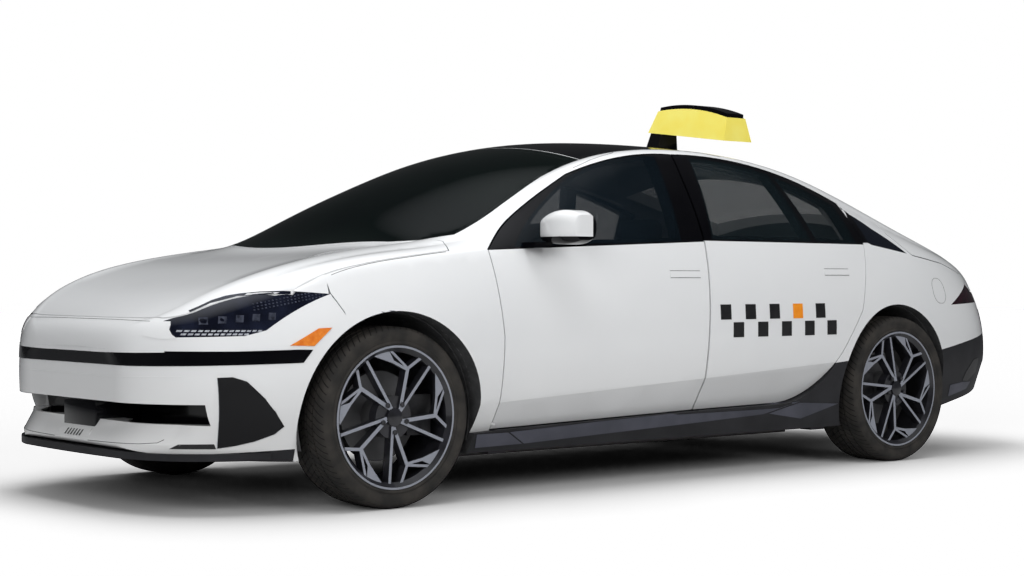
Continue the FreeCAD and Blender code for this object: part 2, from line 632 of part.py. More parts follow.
def wheel_rim(first):
    """Left rim about the wheel's centre line, at its real distance from the middle."""
    barrel = Part.makeCylinder(size("rim_radius"), size("rim_width"))
    barrel = barrel.cut(Part.makeCylinder(size("rim_bore"), size("rim_width")))
    slope = size("rim_radius") - size("flange_face") - size("rim_bore")
    cone = Part.makeCone(size("rim_bore"), size("rim_bore") + slope, slope)
    cone.translate(Vector(0, 0, size("rim_width") - slope))
    barrel = barrel.cut(cone)
    barrel.rotate(Vector(0, 0, 0), Vector(1, 0, 0), -90)
    barrel.translate(Vector(0, WHEEL_Y - size("rim_width") / 2, 0))
    rim = barrel.fuse(spoked_centre(SPOKE_Y, first))
    return rim.cut(across_cylinder(0, 0, HUB_BORE, SPOKE_Y, BORE_END_Y))


rims = {axle: wheel_rim(first) for axle, first in FIRST_STRUT.items()}
for axle, axle_x in AXLES.items():
    steered = axle == "front"
    for side, sign in SIDES.items():
        corner = f"{axle}_{side}"
        turn = FreeCAD.Rotation(Vector(1, 0, 0), -90 * sign)

        def spot(y):
            return Vector(axle_x, sign * y, AXLE_Z)

        half = "sizes.tyre_width / 2"
        tread = bound(
            "Part::Cylinder", f"tread_{corner}", spot(WHEEL_Y - size("tyre_width") / 2), turn,
            Radius="sizes.tyre_radius", Height="sizes.tyre_width",
        )
        rounded = doc.addObject("Part::Fillet", f"shoulder_{corner}")
        rounded.Base = tread
        rounded.Edges = [(1, 26, 26), (3, 26, 26)]
        bore = bound(
            "Part::Cylinder", f"tyre_bore_{corner}", spot(WHEEL_Y - size("tyre_width") / 2), turn,
            Radius="sizes.rim_radius + sizes.seat_clearance", Height="sizes.tyre_width",
        )
        joined("Part::Cut", f"tyre_{corner}", rounded, bore)

        rim = rims[axle].copy()
        rim.rotate(Vector(0, 0, 0), Vector(0, 0, 1), 90 - 90 * sign)
        rim.translate(Vector(axle_x, 0, AXLE_Z))
        nodes[f"rim_{corner}"] = rim

        rotor = bound(
            "Part::Cylinder", f"rotor_{corner}", spot(DISC_Y[0]), turn,
            Radius="sizes.disc_radius", Height="sizes.disc_wall",
        )
        hat = bound("Part::Cylinder", f"hat_{corner}", spot(DISC_Y[0]), turn, Radius="sizes.hub_radius")
        hat.Height = SPOKE_Y - DISC_Y[0]
        hub_bore = bound("Part::Cylinder", f"hub_bore_{corner}", spot(DISC_Y[0] - 1), turn)
        hub_bore.Radius, hub_bore.Height = HUB_BORE, SPOKE_Y - DISC_Y[0] + 2
        solid = joined("Part::MultiFuse", f"rotor_and_hat_{corner}", rotor, hat)
        joined("Part::Cut", f"brake_disc_{corner}", solid, hub_bore)


def knuckle(caliper_side):
    """Left hub carrier about the wheel's centre, with its stub axle and caliper."""
    carrier = box((-42, 42), KNUCKLE_Y, (-KNUCKLE_RISE, KNUCKLE_RISE))
    pads = box((-40, 40), (KINGPIN_Y - 40, KINGPIN_Y + 12), (-KNUCKLE_RISE, KNUCKLE_RISE))
    stub = across_cylinder(0, 0, SPINDLE, KNUCKLE_Y[1] - 2, BORE_END_Y - STUB_END_GAP)
    bracket = box((30, 205), (KNUCKLE_Y[1] - 22, KNUCKLE_Y[1] + 6), (-38, 38))
    caliper = box((100, 214), (KNUCKLE_Y[1] - 14, SPOKE_Y - 8), (-78, 78))
    ring = across_cylinder(0, 0, size("rim_bore") - 14, 0, FAR)
    slot = across_cylinder(0, 0, size("disc_radius") + 6, DISC_Y[0] - 6, DISC_Y[1] + 6)
    hat_room = across_cylinder(0, 0, size("hub_radius") + 8, DISC_Y[0] - 6, FAR)
    gripping = bracket.fuse(caliper).common(ring).cut([slot, hat_room])
    shape = carrier.fuse([pads, stub, gripping])
    if caliper_side < 0:
        shape = shape.mirror(Vector(0, 0, 0), Vector(1, 0, 0))
    return shape


def subframe():
    """Cross member, towers and arms of one axle, about its centre on the road."""
    rail = box((FIT - SUBFRAME_REACH, SUBFRAME_REACH - FIT), (340, 400), (up(195), up(255)))
    cross = box((-110, 110), (0, 400), (up(195), up(225)))
    tower = box((-60, 60), (360, 400), (up(195), AXLE_Z + KNUCKLE_RISE + ARM_WALL + FIT))
    low = AXLE_Z - KNUCKLE_RISE - FIT
    high = AXLE_Z + KNUCKLE_RISE + FIT
    lower = box((-ARM_HALF, ARM_HALF), (380, ARM_END_Y), (low - ARM_WALL, low))
    upper = box((-ARM_HALF, ARM_HALF), (380, ARM_END_Y), (high, high + ARM_WALL))
    return rail.fuse([cross, tower, lower, upper])


DRIVE_BASE = up(225)
rear_knuckle = knuckle(1)
rear_knuckle.translate(Vector(REAR_X, 0, AXLE_Z))
nodes["rear_knuckles"] = pair(rear_knuckle)
front_knuckle = knuckle(-1)
front_knuckle.translate(Vector(FRONT_X, 0, AXLE_Z))
nodes["front_knuckle_left"] = front_knuckle
nodes["front_knuckle_right"] = mirror_y(front_knuckle)
frames = []
units = []
for axle_x in AXLES.values():
    half = subframe()
    half.translate(Vector(axle_x, 0, 0))
    frames.append(whole(half))
    unit = box((axle_x - 190, axle_x + 190), (-280, 280), (DRIVE_BASE + FIT, DRIVE_BASE + up(240)))
    units.append(unit)
nodes["subframes"] = Part.makeCompound(frames)
nodes["drive_units"] = Part.makeCompound(units)
nodes["wheel_liners"] = Part.makeCompound([s for liner in liners for s in pair(liner).Solids])
nodes["battery_pack"] = box(
    (along(-1000), along(1000)), (across(-620), across(620)), (BOTTOM_Z - up(38), BOTTOM_Z - FIT)
)

# ---------------------------------------------------------------- mirrors and roof sign
MIRROR = [
    # y, middle x, middle z, length, height, corner radius
    (912, 705, 1066, 118, 96, 28),
    (975, 700, 1072, 160, 128, 42),
    (1050, 688, 1074, 156, 132, 48),
    (1088, 676, 1072, 112, 100, 38),
]


def rounded_frame(y, x, z, length, height, corner):
    """Upright rounded rectangle across one place of the mirror's shell."""
    a, b = length / 2 - corner, height / 2 - corner
    ends = [(-a, -b), (a, -b), (a, b), (-a, b)]
    points = [Vector(along(x) + u, across(y), up(z) + v) for u, v in ends]
    return Part.makePolygon(points + points[:1]).makeOffset2D(corner)


housing = Part.makeLoft([rounded_frame(*row) for row in MIRROR], True, False)
arm = box((along(735), along(825)), (across(840), across(950)), (up(992), up(1014)))
mirror = solids_of(housing.fuse(arm).cut(outer))
nodes["mirror_left"] = mirror
nodes["mirror_right"] = mirror_y(mirror)

# The sign stands on one foot right of the middle and hangs down to the left.
SIGN_X = along(-1050)
SIGN_Z = up(1503) + size("sign_lift")
SIGN_ROLL = 7.5
SIGN_ARCH = 26
SIGN_CAP = 20
SIGN_TOP_SHARE = 0.62  # depth of the sign's top to that of its base
FOOT_Y = -200
FOOT_BASE = (190, 110)
FOOT_TOP = (96, 70)
height, depth = size("sign_height"), size("sign_depth")
half_sign = size("sign_width") / 2
sign_end = half_sign - height / 4
top_half = depth / 2 * SIGN_TOP_SHARE


def sign_block(low, low_y, high, high_y, arch):
    """Block between two heights whose top is arched, right through the sign's depth."""
    rows = [(low_y, low, 0), (high_y, high, 0), (-high_y, high, arch), (-low_y, low, 0)]
    wire = closed_wire(rows, lambda y, z: Vector(-FAR / 2, y, z), 0)
    return Part.Face(wire).extrude(Vector(FAR, 0, 0))


def sign_sides(low, low_x, high, high_x):
    """Block whose front and rear lean together, between two heights."""
    rows = [(-low_x, low, 0), (low_x, low, 0), (high_x, high, 0), (-high_x, high, 0)]
    wire = closed_wire(rows, lambda x, z: Vector(x, -FAR / 2, z), 0)
    return Part.Face(wire).extrude(Vector(0, FAR, 0))


def raised(shape):
    """The sign's own shape, tilted and set above the roof."""
    shape.rotate(Vector(0, 0, 0), Vector(1, 0, 0), -SIGN_ROLL)
    shape.translate(Vector(SIGN_X, 0, SIGN_Z))
    return shape


def foot_plate(length_and_width, x, z):
    """Outline of the foot at one height."""
    a, b = (value / 2 for value in length_and_width)
    points = [Vector(x + u, FOOT_Y + v, z) for u, v in ((-a, -b), (a, -b), (a, b), (-a, b))]
    return Part.makePolygon(points + points[:1])


lean = sign_sides(0, depth / 2, height + SIGN_ARCH, top_half)
sign_body = sign_block(0, half_sign, height, sign_end, SIGN_ARCH).common(lean)
cap_base = height + FIT
cap = sign_block(height / 2, sign_end, cap_base + SIGN_CAP, sign_end - SIGN_CAP / 2, SIGN_ARCH)
cap = cap.cut(sign_block(-FAR, half_sign, cap_base, sign_end, SIGN_ARCH))
cap = cap.common(sign_sides(0, top_half, 2 * height, top_half))
nodes["roof_sign"] = raised(solids_of(sign_body))
nodes["roof_sign_cap"] = raised(solids_of(cap))
roof_foot = Part.makeLoft(
    [foot_plate(FOOT_BASE, SIGN_X + 95, up(1380)), foot_plate(FOOT_TOP, SIGN_X + 45, SIGN_Z + 60)],
    True, True,
)
under_sign = sign_block(-FAR, FAR / 2, -FIT, FAR / 2, 0)
roof_foot = roof_foot.cut([outer, mirror_y(outer)]).common(raised(under_sign))
nodes["roof_sign_foot"] = solids_of(roof_foot)

# ---------------------------------------------------------------- checks and files
for name, shape in nodes.items():
    feature = doc.addObject("Part::Feature", name)
    feature.Label = name
    feature.Shape = shape
doc.recompute()
faults = [item.Label for item in doc.Objects if "Invalid" in item.State or "Error" in item.State]
if faults:
    raise RuntimeError(f"objects that did not build: {faults}")
MADE = list(nodes)
for axle in AXLES:
    for side in SIDES:
        MADE += [f"tyre_{axle}_{side}", f"brake_disc_{axle}_{side}"]
for name in MADE:
    shape = doc.getObjectsByLabel(name)[0].Shape
    if shape.isNull() or not shape.isValid():
        raise RuntimeError(f"{name} has no valid shape")
    shape.exportStep(f"parts/{name}.step")
    print(name, len(shape.Solids), round(shape.Volume / 1e6, 2))
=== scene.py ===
# %% [markdown]
# # A taxi cab
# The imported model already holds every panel, pane, wheel and seat of the car as a
# plain solid. This lesson gives each solid its finish and adds what a real car
# wears on top: window trim, lamps, tread, mirrors, seats and the marks of a taxi.
# The model is loaded first, so that every new piece can be placed by it.

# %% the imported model
import json
import math

import bmesh
import bpy
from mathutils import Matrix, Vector
from mathutils.bvhtree import BVHTree


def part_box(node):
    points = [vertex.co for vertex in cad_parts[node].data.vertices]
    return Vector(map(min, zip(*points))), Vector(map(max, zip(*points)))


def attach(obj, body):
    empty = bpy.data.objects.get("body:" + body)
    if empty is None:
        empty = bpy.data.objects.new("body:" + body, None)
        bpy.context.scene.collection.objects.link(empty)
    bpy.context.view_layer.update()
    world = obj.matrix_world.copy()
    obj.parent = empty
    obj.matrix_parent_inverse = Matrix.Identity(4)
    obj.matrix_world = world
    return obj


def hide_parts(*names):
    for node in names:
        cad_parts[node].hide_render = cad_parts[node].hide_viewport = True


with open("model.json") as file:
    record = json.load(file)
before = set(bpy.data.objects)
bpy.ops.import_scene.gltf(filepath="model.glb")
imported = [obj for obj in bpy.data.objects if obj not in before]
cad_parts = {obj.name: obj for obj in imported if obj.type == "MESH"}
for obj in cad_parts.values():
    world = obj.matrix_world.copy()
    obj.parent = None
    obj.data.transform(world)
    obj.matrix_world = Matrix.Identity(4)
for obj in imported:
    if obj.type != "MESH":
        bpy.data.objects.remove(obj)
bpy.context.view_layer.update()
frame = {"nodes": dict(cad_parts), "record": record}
nodes = frame["nodes"]
X, Y, Z = Vector((1, 0, 0)), Vector((0, 1, 0)), Vector((0, 0, 1))
SIDES = {"left": 1, "right": -1}
TYRES = {f"{row}_{side}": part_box(f"tyre_{row}_{side}") for row in ("front", "rear") for side in SIDES}
CENTRES = {corner: (low + high) / 2 for corner, (low, high) in TYRES.items()}
AXLE_MID = (CENTRES["front_left"].x + CENTRES["rear_left"].x) / 2

# %% [markdown]
# ## Camera
# The car is seen from ahead of its left front corner at the height of a standing
# person's belt. A long lens keeps the near wheel from looking too large.

# %% camera
LENS, SENSOR = 65.83, 36
scene = bpy.context.scene


def added(name, data):
    """An object in the scene, from its data."""
    thing = bpy.data.objects.new(name, data)
    scene.collection.objects.link(thing)
    return thing


camera = added("camera", bpy.data.cameras.new("camera"))
camera.data.lens, camera.data.sensor_width = LENS, SENSOR
camera.location = (5.6935, 6.636, 0.864)
camera.rotation_euler = (math.radians(89.75), 0, math.radians(140.55))
scene.camera = camera
print(LENS, "mm lens at", tuple(camera.location))

# %% [markdown]
# ## Nodes
# A sky or a finish is a tree of nodes. It could be wired by hand in the editor, but
# there are dozens of them here, so a helper adds a node and feeds its sockets by
# name, each with a value or with another node's output.


# %% node helpers
def feed(socket, value):
    """Sets a socket, or joins an output to it."""
    if isinstance(value, bpy.types.NodeSocket):
        socket.id_data.links.new(value, socket)
    else:
        socket.default_value = value


def node(owner, kind, **values):
    """A node of a material or world, with its sockets fed by name."""
    made = owner.node_tree.nodes.new(kind)
    for name, value in values.items():
        feed(made.inputs[name.replace("_", " ")], value)
    return made


# %% [markdown]
# ## Sky
# A car's paint shows its shape by what it reflects. The backdrop is white only for
# the camera. What lights the car is a dimmer sky, dark near the horizon as out of
# doors, so that glass stays dark and white paint does not clip.

# %% sky and backdrop
DARK_BELOW, DIM, BRIGHT = 0.66, 0.035, 0.9
scene.view_settings.view_transform = "Standard"
world = bpy.data.worlds.new("studio")
world.use_nodes = True
scene.world = world
direction = node(world, "ShaderNodeTexCoord").outputs["Object"]
upward = node(world, "ShaderNodeSeparateXYZ", Vector=direction).outputs["Z"]
rise = node(world, "ShaderNodeMapRange", Value=upward, From_Min=DARK_BELOW, From_Max=1.0, To_Min=DIM, To_Max=BRIGHT)
sky = node(world, "ShaderNodeBackground", Color=(0.93, 0.96, 1, 1), Strength=rise.outputs["Result"])
backdrop = node(world, "ShaderNodeBackground", Color=(1, 1, 1, 1))
path = node(world, "ShaderNodeLightPath")
choice = node(world, "ShaderNodeMixShader", Fac=path.outputs["Is Camera Ray"])
feed(choice.inputs[1], sky.outputs["Background"])
feed(choice.inputs[2], backdrop.outputs["Background"])
feed(world.node_tree.nodes["World Output"].inputs["Surface"], choice.outputs["Shader"])
print("sky strength", DIM, "to", BRIGHT)

# %% [markdown]
# ## Soft boxes
# Small lamps would leave hard spots on curved panels, so the car stands under wide
# soft boxes. They stay out of its reflections, where their edges would show.


# %% soft boxes
def soft_box(name, place, aim, width, height, watts):
    """Wide lamp that faces a point."""
    light = bpy.data.lights.new(name, "AREA")
    light.shape, light.size, light.size_y, light.energy = "RECTANGLE", width, height, watts
    lamp = added(name, light)
    lamp.location = place
    lamp.rotation_euler = (Vector(aim) - Vector(place)).to_track_quat("-Z", "Y").to_euler()
    lamp.visible_glossy = False
    print(name, watts, "W")


soft_box("side box", (-1.5, 9, 4.5), (0, 0, 0.7), 9, 4, 405)
soft_box("front box", (7.8, 5.2, 3.5), (1, 0, 0.6), 5, 4, 315)
soft_box("overhead box", (1.0, -0.3, 6.5), (0.6, 0, 0), 7, 3, 350)
soft_box("far box", (-2, -8, 4), (0, 0, 0.8), 8, 3, 60)

# %% [markdown]
# ## Floor
# The floor only has to hold the car's shadow. A shadow catcher does that and lets
# the white backdrop through elsewhere.


# %% floor
def meshed(name, made):
    """An object from a finished bmesh."""
    data = bpy.data.meshes.new(name)
    made.to_mesh(data)
    made.free()
    return added(name, data)


made = bmesh.new()
bmesh.ops.create_grid(made, x_segments=1, y_segments=1, size=40)
floor = meshed("floor", made)
floor.is_shadow_catcher = True
print("the floor is", floor.dimensions.x, "m wide")

# %% [markdown]
# ## Finishes
# Each finish is one node material on Object coordinates, so a pattern keeps its
# real size on every piece. The helpers give what all finishes need: a slow change
# between two tones, since nothing is one flat colour, and a fine grain.


# %% tones
def surface(material):
    """The sockets of a material's shader."""
    return material.node_tree.nodes["Principled BSDF"].inputs


def spot(material, centre=(0, 0, 0)):
    """Object coordinates, measured from a centre."""
    everywhere = node(material, "ShaderNodeTexCoord").outputs["Object"]
    return node(material, "ShaderNodeMapping", Vector=everywhere, Location=[-c for c in centre]).outputs["Vector"]


def cloudy(material, scale, detail):
    """Soft noise from 0 to 1."""
    return node(material, "ShaderNodeTexNoise", Vector=spot(material), Scale=scale, Detail=detail).outputs["Fac"]


def finish(name, dark, light=None, scale=1.0, roughness=0.5, metallic=0.0, coat=0.0, specular=0.5, alpha=1.0):
    """A material that drifts between two tones, or has one."""
    material = bpy.data.materials.new(name)
    material.use_nodes = True
    for socket, value in {
        "Base Color": (*dark, 1), "Roughness": roughness, "Metallic": metallic, "Alpha": alpha,
        "Coat Weight": coat, "Coat Roughness": 0.04, "Specular IOR Level": specular,
    }.items():
        feed(surface(material)[socket], value)
    if light:
        ramp = node(material, "ShaderNodeValToRGB", Fac=cloudy(material, scale, 3.0))
        for stop, position, tone in zip(ramp.color_ramp.elements, (0.35, 0.65), (dark, light)):
            stop.position, stop.color = position, (*tone, 1)
        feed(surface(material)["Base Color"], ramp.outputs["Color"])
    return material


# %% grain and layers
def bumped(material, height, depth, strength=1.0, invert=False):
    """Small relief from a height between 0 and 1."""
    bump = node(material, "ShaderNodeBump", Strength=strength, Distance=depth, Height=height)
    bump.invert = invert
    feed(surface(material)["Normal"], bump.outputs["Normal"])


def grain(material, scale, depth):
    """Fine bumps over the whole surface."""
    bumped(material, cloudy(material, scale, 2.0), depth)


def layered(material, share, colour):
    """Lays a second colour over the tones, by a share from 0 to 1."""
    mix = node(material, "ShaderNodeMix")
    mix.data_type = "RGBA"
    tones = material.node_tree.nodes["Color Ramp"].outputs["Color"]
    for socket, value in (("Factor", share), ("A", tones), ("B", (*colour, 1))):
        feed(mix.inputs[socket], value)
    feed(surface(material)["Base Color"], mix.outputs["Result"])


# %% floor finish
floor.data.materials.append(finish("pale_floor", (0.4, 0.4, 0.4), (0.44, 0.44, 0.44), 0.4, 0.9))
print(floor.name, "has", floor.data.materials[0].name)

# %% [markdown]
# ## Paint
# Pearl white paint is a nearly white base under clear lacquer. Mica flakes give
# the lacquer a faint sparkle. Towards the bottom the body is mixed by height with
# a warm grey, which is painted shade. Low door faces that lean in would mirror the
# road, so they get a greyer copy of the pearl, which is painted shade too.

# %% pearl white paint
MICA_SCALE, MICA_DEPTH = 1400, 0.00002
pearl = finish("pearl_white_paint", (0.775, 0.785, 0.795), (0.81, 0.818, 0.826), 1.3, 0.42, coat=1.0)
# A greyer copy of the pearl for low door faces: painted shade.
pearl_painted_shade = finish("pearl_paint_painted_shade", (0.60, 0.605, 0.61), (0.65, 0.655, 0.66), 1.3, 0.45, coat=0.9)
grain(pearl, MICA_SCALE, MICA_DEPTH)
grain(pearl_painted_shade, MICA_SCALE, MICA_DEPTH)
# Painted shade: a warm grey is mixed in, more towards the bottom of the body.
height = node(pearl, "ShaderNodeSeparateXYZ", Vector=spot(pearl)).outputs["Z"]
painted_low_shade = node(pearl, "ShaderNodeMapRange", Value=height, From_Min=0.2, From_Max=0.62, To_Min=0.35, To_Max=0.0)
layered(pearl, painted_low_shade.outputs["Result"], (0.55, 0.54, 0.52))
print("paints:", pearl.name, pearl_painted_shade.name)

# %% [markdown]
# ## Black parts and glass
# Gloss black panels and dark glass are told apart by depth: glass is part
# see-through by alpha, and panels are not. True refraction would cost time and
# show little more behind glass this dark.

# %% gloss black and cladding
GLOSS_LOW, GLOSS_HIGH = 0.06, 0.2
gloss_black = finish("gloss_black", (0.002, 0.002, 0.003), (0.005, 0.005, 0.006), 2, coat=0.2, specular=0.22)
wiped = cloudy(gloss_black, 5, 4.0)
wiped = node(gloss_black, "ShaderNodeMapRange", Value=wiped, To_Min=GLOSS_LOW, To_Max=GLOSS_HIGH)
feed(surface(gloss_black)["Roughness"], wiped.outputs["Result"])
cladding = finish("dark_cladding", (0.014, 0.014, 0.016), (0.022, 0.022, 0.025), 6, specular=0.3)
grain(cladding, 700, 0.00015)
# A paler grey laid on the dark cladding: a painted highlight where its facets catch the light.
painted_highlight_grey = finish("painted_highlight_grey", (0.042, 0.044, 0.058), (0.068, 0.07, 0.092), 5, 0.45)
grain(painted_highlight_grey, 700, 0.00012)
print("dark panels:", gloss_black.name, cladding.name)

# %% glass
side_glass = finish("side_glass", (0.003, 0.006, 0.009), (0.007, 0.012, 0.017), 1.5, 0.02, specular=0.35, alpha=0.66)
aft_glass = finish("aft_side_glass", (0.006, 0.011, 0.014), (0.012, 0.02, 0.024), 1.5, 0.02, specular=0.3, alpha=0.42)
front_glass = finish("front_glass", (0.0015, 0.003, 0.003), (0.003, 0.006, 0.005), 1.2, 0.02, specular=0.2, alpha=0.95)
rear_glass = finish("rear_glass", (0.006, 0.007, 0.009), (0.016, 0.018, 0.02), 1.2, 0.02, specular=0.35, alpha=0.55)
quarter_glass = finish("quarter_glass", (0.003, 0.004, 0.007), (0.007, 0.009, 0.014), 1.2, 0.05, specular=0.35)
print("front doors' glass covers", round(surface(side_glass)["Alpha"].default_value, 2))

# %% [markdown]
# ## Lamps and mirrors
# Lenses are tinted plastic under a glossy coat. They are kept opaque, because the
# bars and modules behind them are laid on later. Mirror glass is a metal.

# %% lamp and mirror finishes
smoked = finish("smoked_lens", (0.003, 0.004, 0.010), (0.010, 0.013, 0.028), 9, 0.05, coat=1.0)
red_lens = finish("red_lens", (0.008, 0.003, 0.006), (0.03, 0.005, 0.012), 25, 0.08, coat=1.0)
amber_lens = finish("amber_lens", (0.72, 0.17, 0.02), (0.85, 0.28, 0.04), 40, 0.15, coat=1.0)
silver = finish("silver_reflector", (0.4, 0.42, 0.47), (0.65, 0.68, 0.72), 90, 0.25, 0.3)
module_glass = finish("module_glass", (0.03, 0.034, 0.05), (0.09, 0.1, 0.14), 60, 0.1, 0.4, 1.0)
mirror_glass = finish("mirror_glass", (0.68, 0.7, 0.73), (0.72, 0.74, 0.77), 3, 0.03, 1.0)
print("lenses:", smoked.name, red_lens.name, amber_lens.name)

# %% [markdown]
# ## Rubber, castings and felt
# What stands under the car is matt: black steel arms, rough castings and the felt
# of the wheel openings. Only the spokes' sides have a gloss.

# %% running gear finishes
rim_black = finish("rim_black", (0.01, 0.01, 0.012), (0.02, 0.02, 0.025), 20, 0.3, coat=0.6)
chassis = finish("chassis_black", (0.02, 0.02, 0.021), (0.045, 0.043, 0.041), 8, 0.6)
grain(chassis, 260, 0.0002)
cast = finish("cast_alloy", (0.05, 0.05, 0.055), (0.11, 0.11, 0.115), 12, metallic=0.8)
grain(cast, 420, 0.0002)
liner_felt = finish("liner_felt", (0.045, 0.045, 0.047), (0.07, 0.07, 0.072), 30, 0.95)
grain(liner_felt, 900, 0.0005)
print("running gear:", chassis.name, cast.name, liner_felt.name)

# %% [markdown]
# ## Cabin and sign
# Trim and leather are told apart by their grain: fine noise on the trim, and cells
# with creases between them on the hide. The roof sign glows a little, and the
# taxi's squares are cut from matt film.

# %% cabin, sign and film finishes
trim = finish("cabin_trim", (0.028, 0.028, 0.03), (0.045, 0.045, 0.048), 5, 0.6)
grain(trim, 800, 0.0003)
leather = finish("seat_leather", (0.035, 0.035, 0.04), (0.06, 0.06, 0.066), 7, 0.45)
hide = node(leather, "ShaderNodeTexVoronoi", Vector=spot(leather), Scale=420.0)
bumped(leather, hide.outputs["Distance"], 0.0004, 0.5)
screen_black = finish("screen", (0.006, 0.008, 0.014), (0.02, 0.03, 0.05), 6, 0.08, coat=1.0)
sign_yellow = finish("sign_yellow", (0.93, 0.8, 0.14), (0.96, 0.86, 0.2), 9, 0.3, coat=0.4)
feed(surface(sign_yellow)["Emission Color"], (1, 0.82, 0.16, 1))
feed(surface(sign_yellow)["Emission Strength"], 0.08)
orange = finish("orange_film", (0.85, 0.25, 0.01), (0.92, 0.31, 0.02), 30, 0.4)
film_black = finish("black_film", (0.01, 0.01, 0.011), (0.016, 0.016, 0.017), 30, 0.4)
plate_white = finish("plate_white", (0.66, 0.66, 0.64), (0.73, 0.73, 0.71), 12, 0.4)
print(len(bpy.data.materials), "finishes are ready")

# %% [markdown]
# ## Panels
# The solids come as loose triangles with hard edges between their faces. A copy
# is merged and shaded smooth up to an angle, so that a panel's faces flow into
# one another and only its real creases stay sharp. What looks into a wheel
# opening is felt, not paint.

# %% pieces and copies
slots = {part["node"]: part["material_slot"] for part in frame["record"]["subparts"]}
body_of = {name: body for body, names in frame["record"]["behaviour"]["bodies"].items() for name in names}


def place(made, name, body, materials, slot):
    """A piece from a finished bmesh, riding on a body of the car."""
    piece = meshed(name, made)
    for material in materials:
        piece.data.materials.append(material)
    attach(piece, body)
    return piece


def smooth(piece, degrees):
    """Smooth shading, with edges sharper than an angle kept."""
    made = bmesh.new()
    made.from_mesh(piece.data)
    for face in made.faces:
        face.smooth = True
    for edge in made.edges:
        edge.smooth = len(edge.link_faces) == 2 and edge.calc_face_angle(0) < math.radians(degrees)
    made.to_mesh(piece.data)
    made.free()
    return piece


def told(piece):
    """Prints what was made."""
    print(piece.name, len(piece.data.polygons), "faces")


def merged(name):
    """A bmesh of a node's solid, with its loose triangles joined."""
    made = bmesh.new()
    made.from_mesh(nodes[name].data)
    bmesh.ops.remove_doubles(made, verts=made.verts, dist=0.00002)
    return made


def dressed(name, materials, degrees=32, made=None):
    """A merged, smooth copy of a node that stands for it."""
    piece = place(made or merged(name), name + "_skin", body_of[name], materials, slots[name])
    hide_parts(name)
    return smooth(piece, degrees)


# %% panels round the wheels
ARCH, ARCH_BAND, FACING = 0.402, 0.012, -0.4


def panel(name, materials, made=None):
    """A dressed panel, with felt where it looks into a wheel opening."""
    made = made or merged(name)
    for face in made.faces:
        middle = face.calc_center_median()
        for centre in CENTRES.values():
            reach = Vector((middle.x - centre.x, 0, middle.z - centre.z))
            if reach.length < ARCH + ARCH_BAND and face.normal.dot(reach.normalized()) < FACING:
                face.material_index = len(materials)
    return dressed(name, materials + [liner_felt], made=made)


def cut(made, point, normal):
    """New edges where a plane crosses the piece."""
    every = made.verts[:] + made.edges[:] + made.faces[:]
    bmesh.ops.bisect_plane(made, geom=every, plane_co=point, plane_no=normal)


# %% [markdown]
# ## Body
# The lip under the nose is a ramp on the real bumper and an upright wall on its
# solid. The copy is cut round the lip and sheared back above the cut, less and
# less towards the corners. The other panels keep their shape.

# %% body panels
LIP_LOW, LIP_TOP, LIP_RAMP, LIP_HALF, LIP_FADE, NOSE_X = 0.262, 0.345, 0.75, 0.60, 0.12, 1.9
bumper = merged("front_bumper")
for point, normal in (((0, 0, LIP_LOW), Z), ((0, LIP_HALF, 0), Y), ((0, -LIP_HALF, 0), Y)):
    cut(bumper, point, normal)
for vert in bumper.verts:
    if LIP_LOW < vert.co.z < LIP_TOP and vert.co.x > NOSE_X:
        share = (LIP_HALF + LIP_FADE - abs(vert.co.y)) / LIP_FADE
        vert.co.x -= LIP_RAMP * (vert.co.z - LIP_LOW) * min(1, max(0, share))
panel("front_bumper", [pearl], bumper)
for name in ("hood", "trunk_lid", "rear_bumper", "body_frame"):
    panel(name, [pearl])
panel("lower_cladding", [cladding])
for name, material in {
    "bumper_trim": gloss_black, "headlamps": smoked, "tail_lamps": red_lens, "windshield": front_glass,
    "roof_panel": gloss_black, "rear_window": rear_glass, "quarter_windows": quarter_glass,
}.items():
    dressed(name, [material])
print("the lip leans back by", round(LIP_RAMP * (LIP_TOP - LIP_LOW), 3), "m")

# %% [markdown]
# ## Doors
# The door skins are white below the windows and gloss black around them. The
# copy is cut along the belt line, and the faces above it take the black. A second
# cut low on the door makes a crease, below which the skin leans in and its faces
# take the greyer pearl as painted shade. Rays from outside tell the skin, which
# moves, from the door's inner parts, which stay.

# %% crease helpers
TUCK, OUTER, START = 0.3, 0.012, 6.0


def above(line, point):
    """Height of a point over a line that is seen from the side."""
    (x1, z1), (x2, z2) = line
    return point.z - (z1 + (point.x - x1) * (z2 - z1) / (x2 - x1))


def cut_along(made, line):
    """New edges along a line that is seen from the side."""
    (x1, z1), (x2, z2) = line
    cut(made, (x1, 0, z1), Vector((z1 - z2, 0, x2 - x1)).normalized())


def tucked(made, line, front_x=9.0):
    """Below a crease the outer skin leans in towards the sill."""
    cut_along(made, line)
    skin = BVHTree.FromBMesh(made)
    shifts = {}
    for vert in made.verts:
        depth = -above(line, vert.co)
        if depth < 0.0005 or vert.co.x >= front_x:
            continue
        side = math.copysign(1, vert.co.y)
        hit = skin.ray_cast(Vector((vert.co.x, side * START, vert.co.z)), Vector((0, -side, 0)))[0]
        if hit is None or abs(hit.y - vert.co.y) < OUTER:
            shifts[vert] = -side * TUCK * depth
    for vert, shift in shifts.items():
        vert.co.y += shift


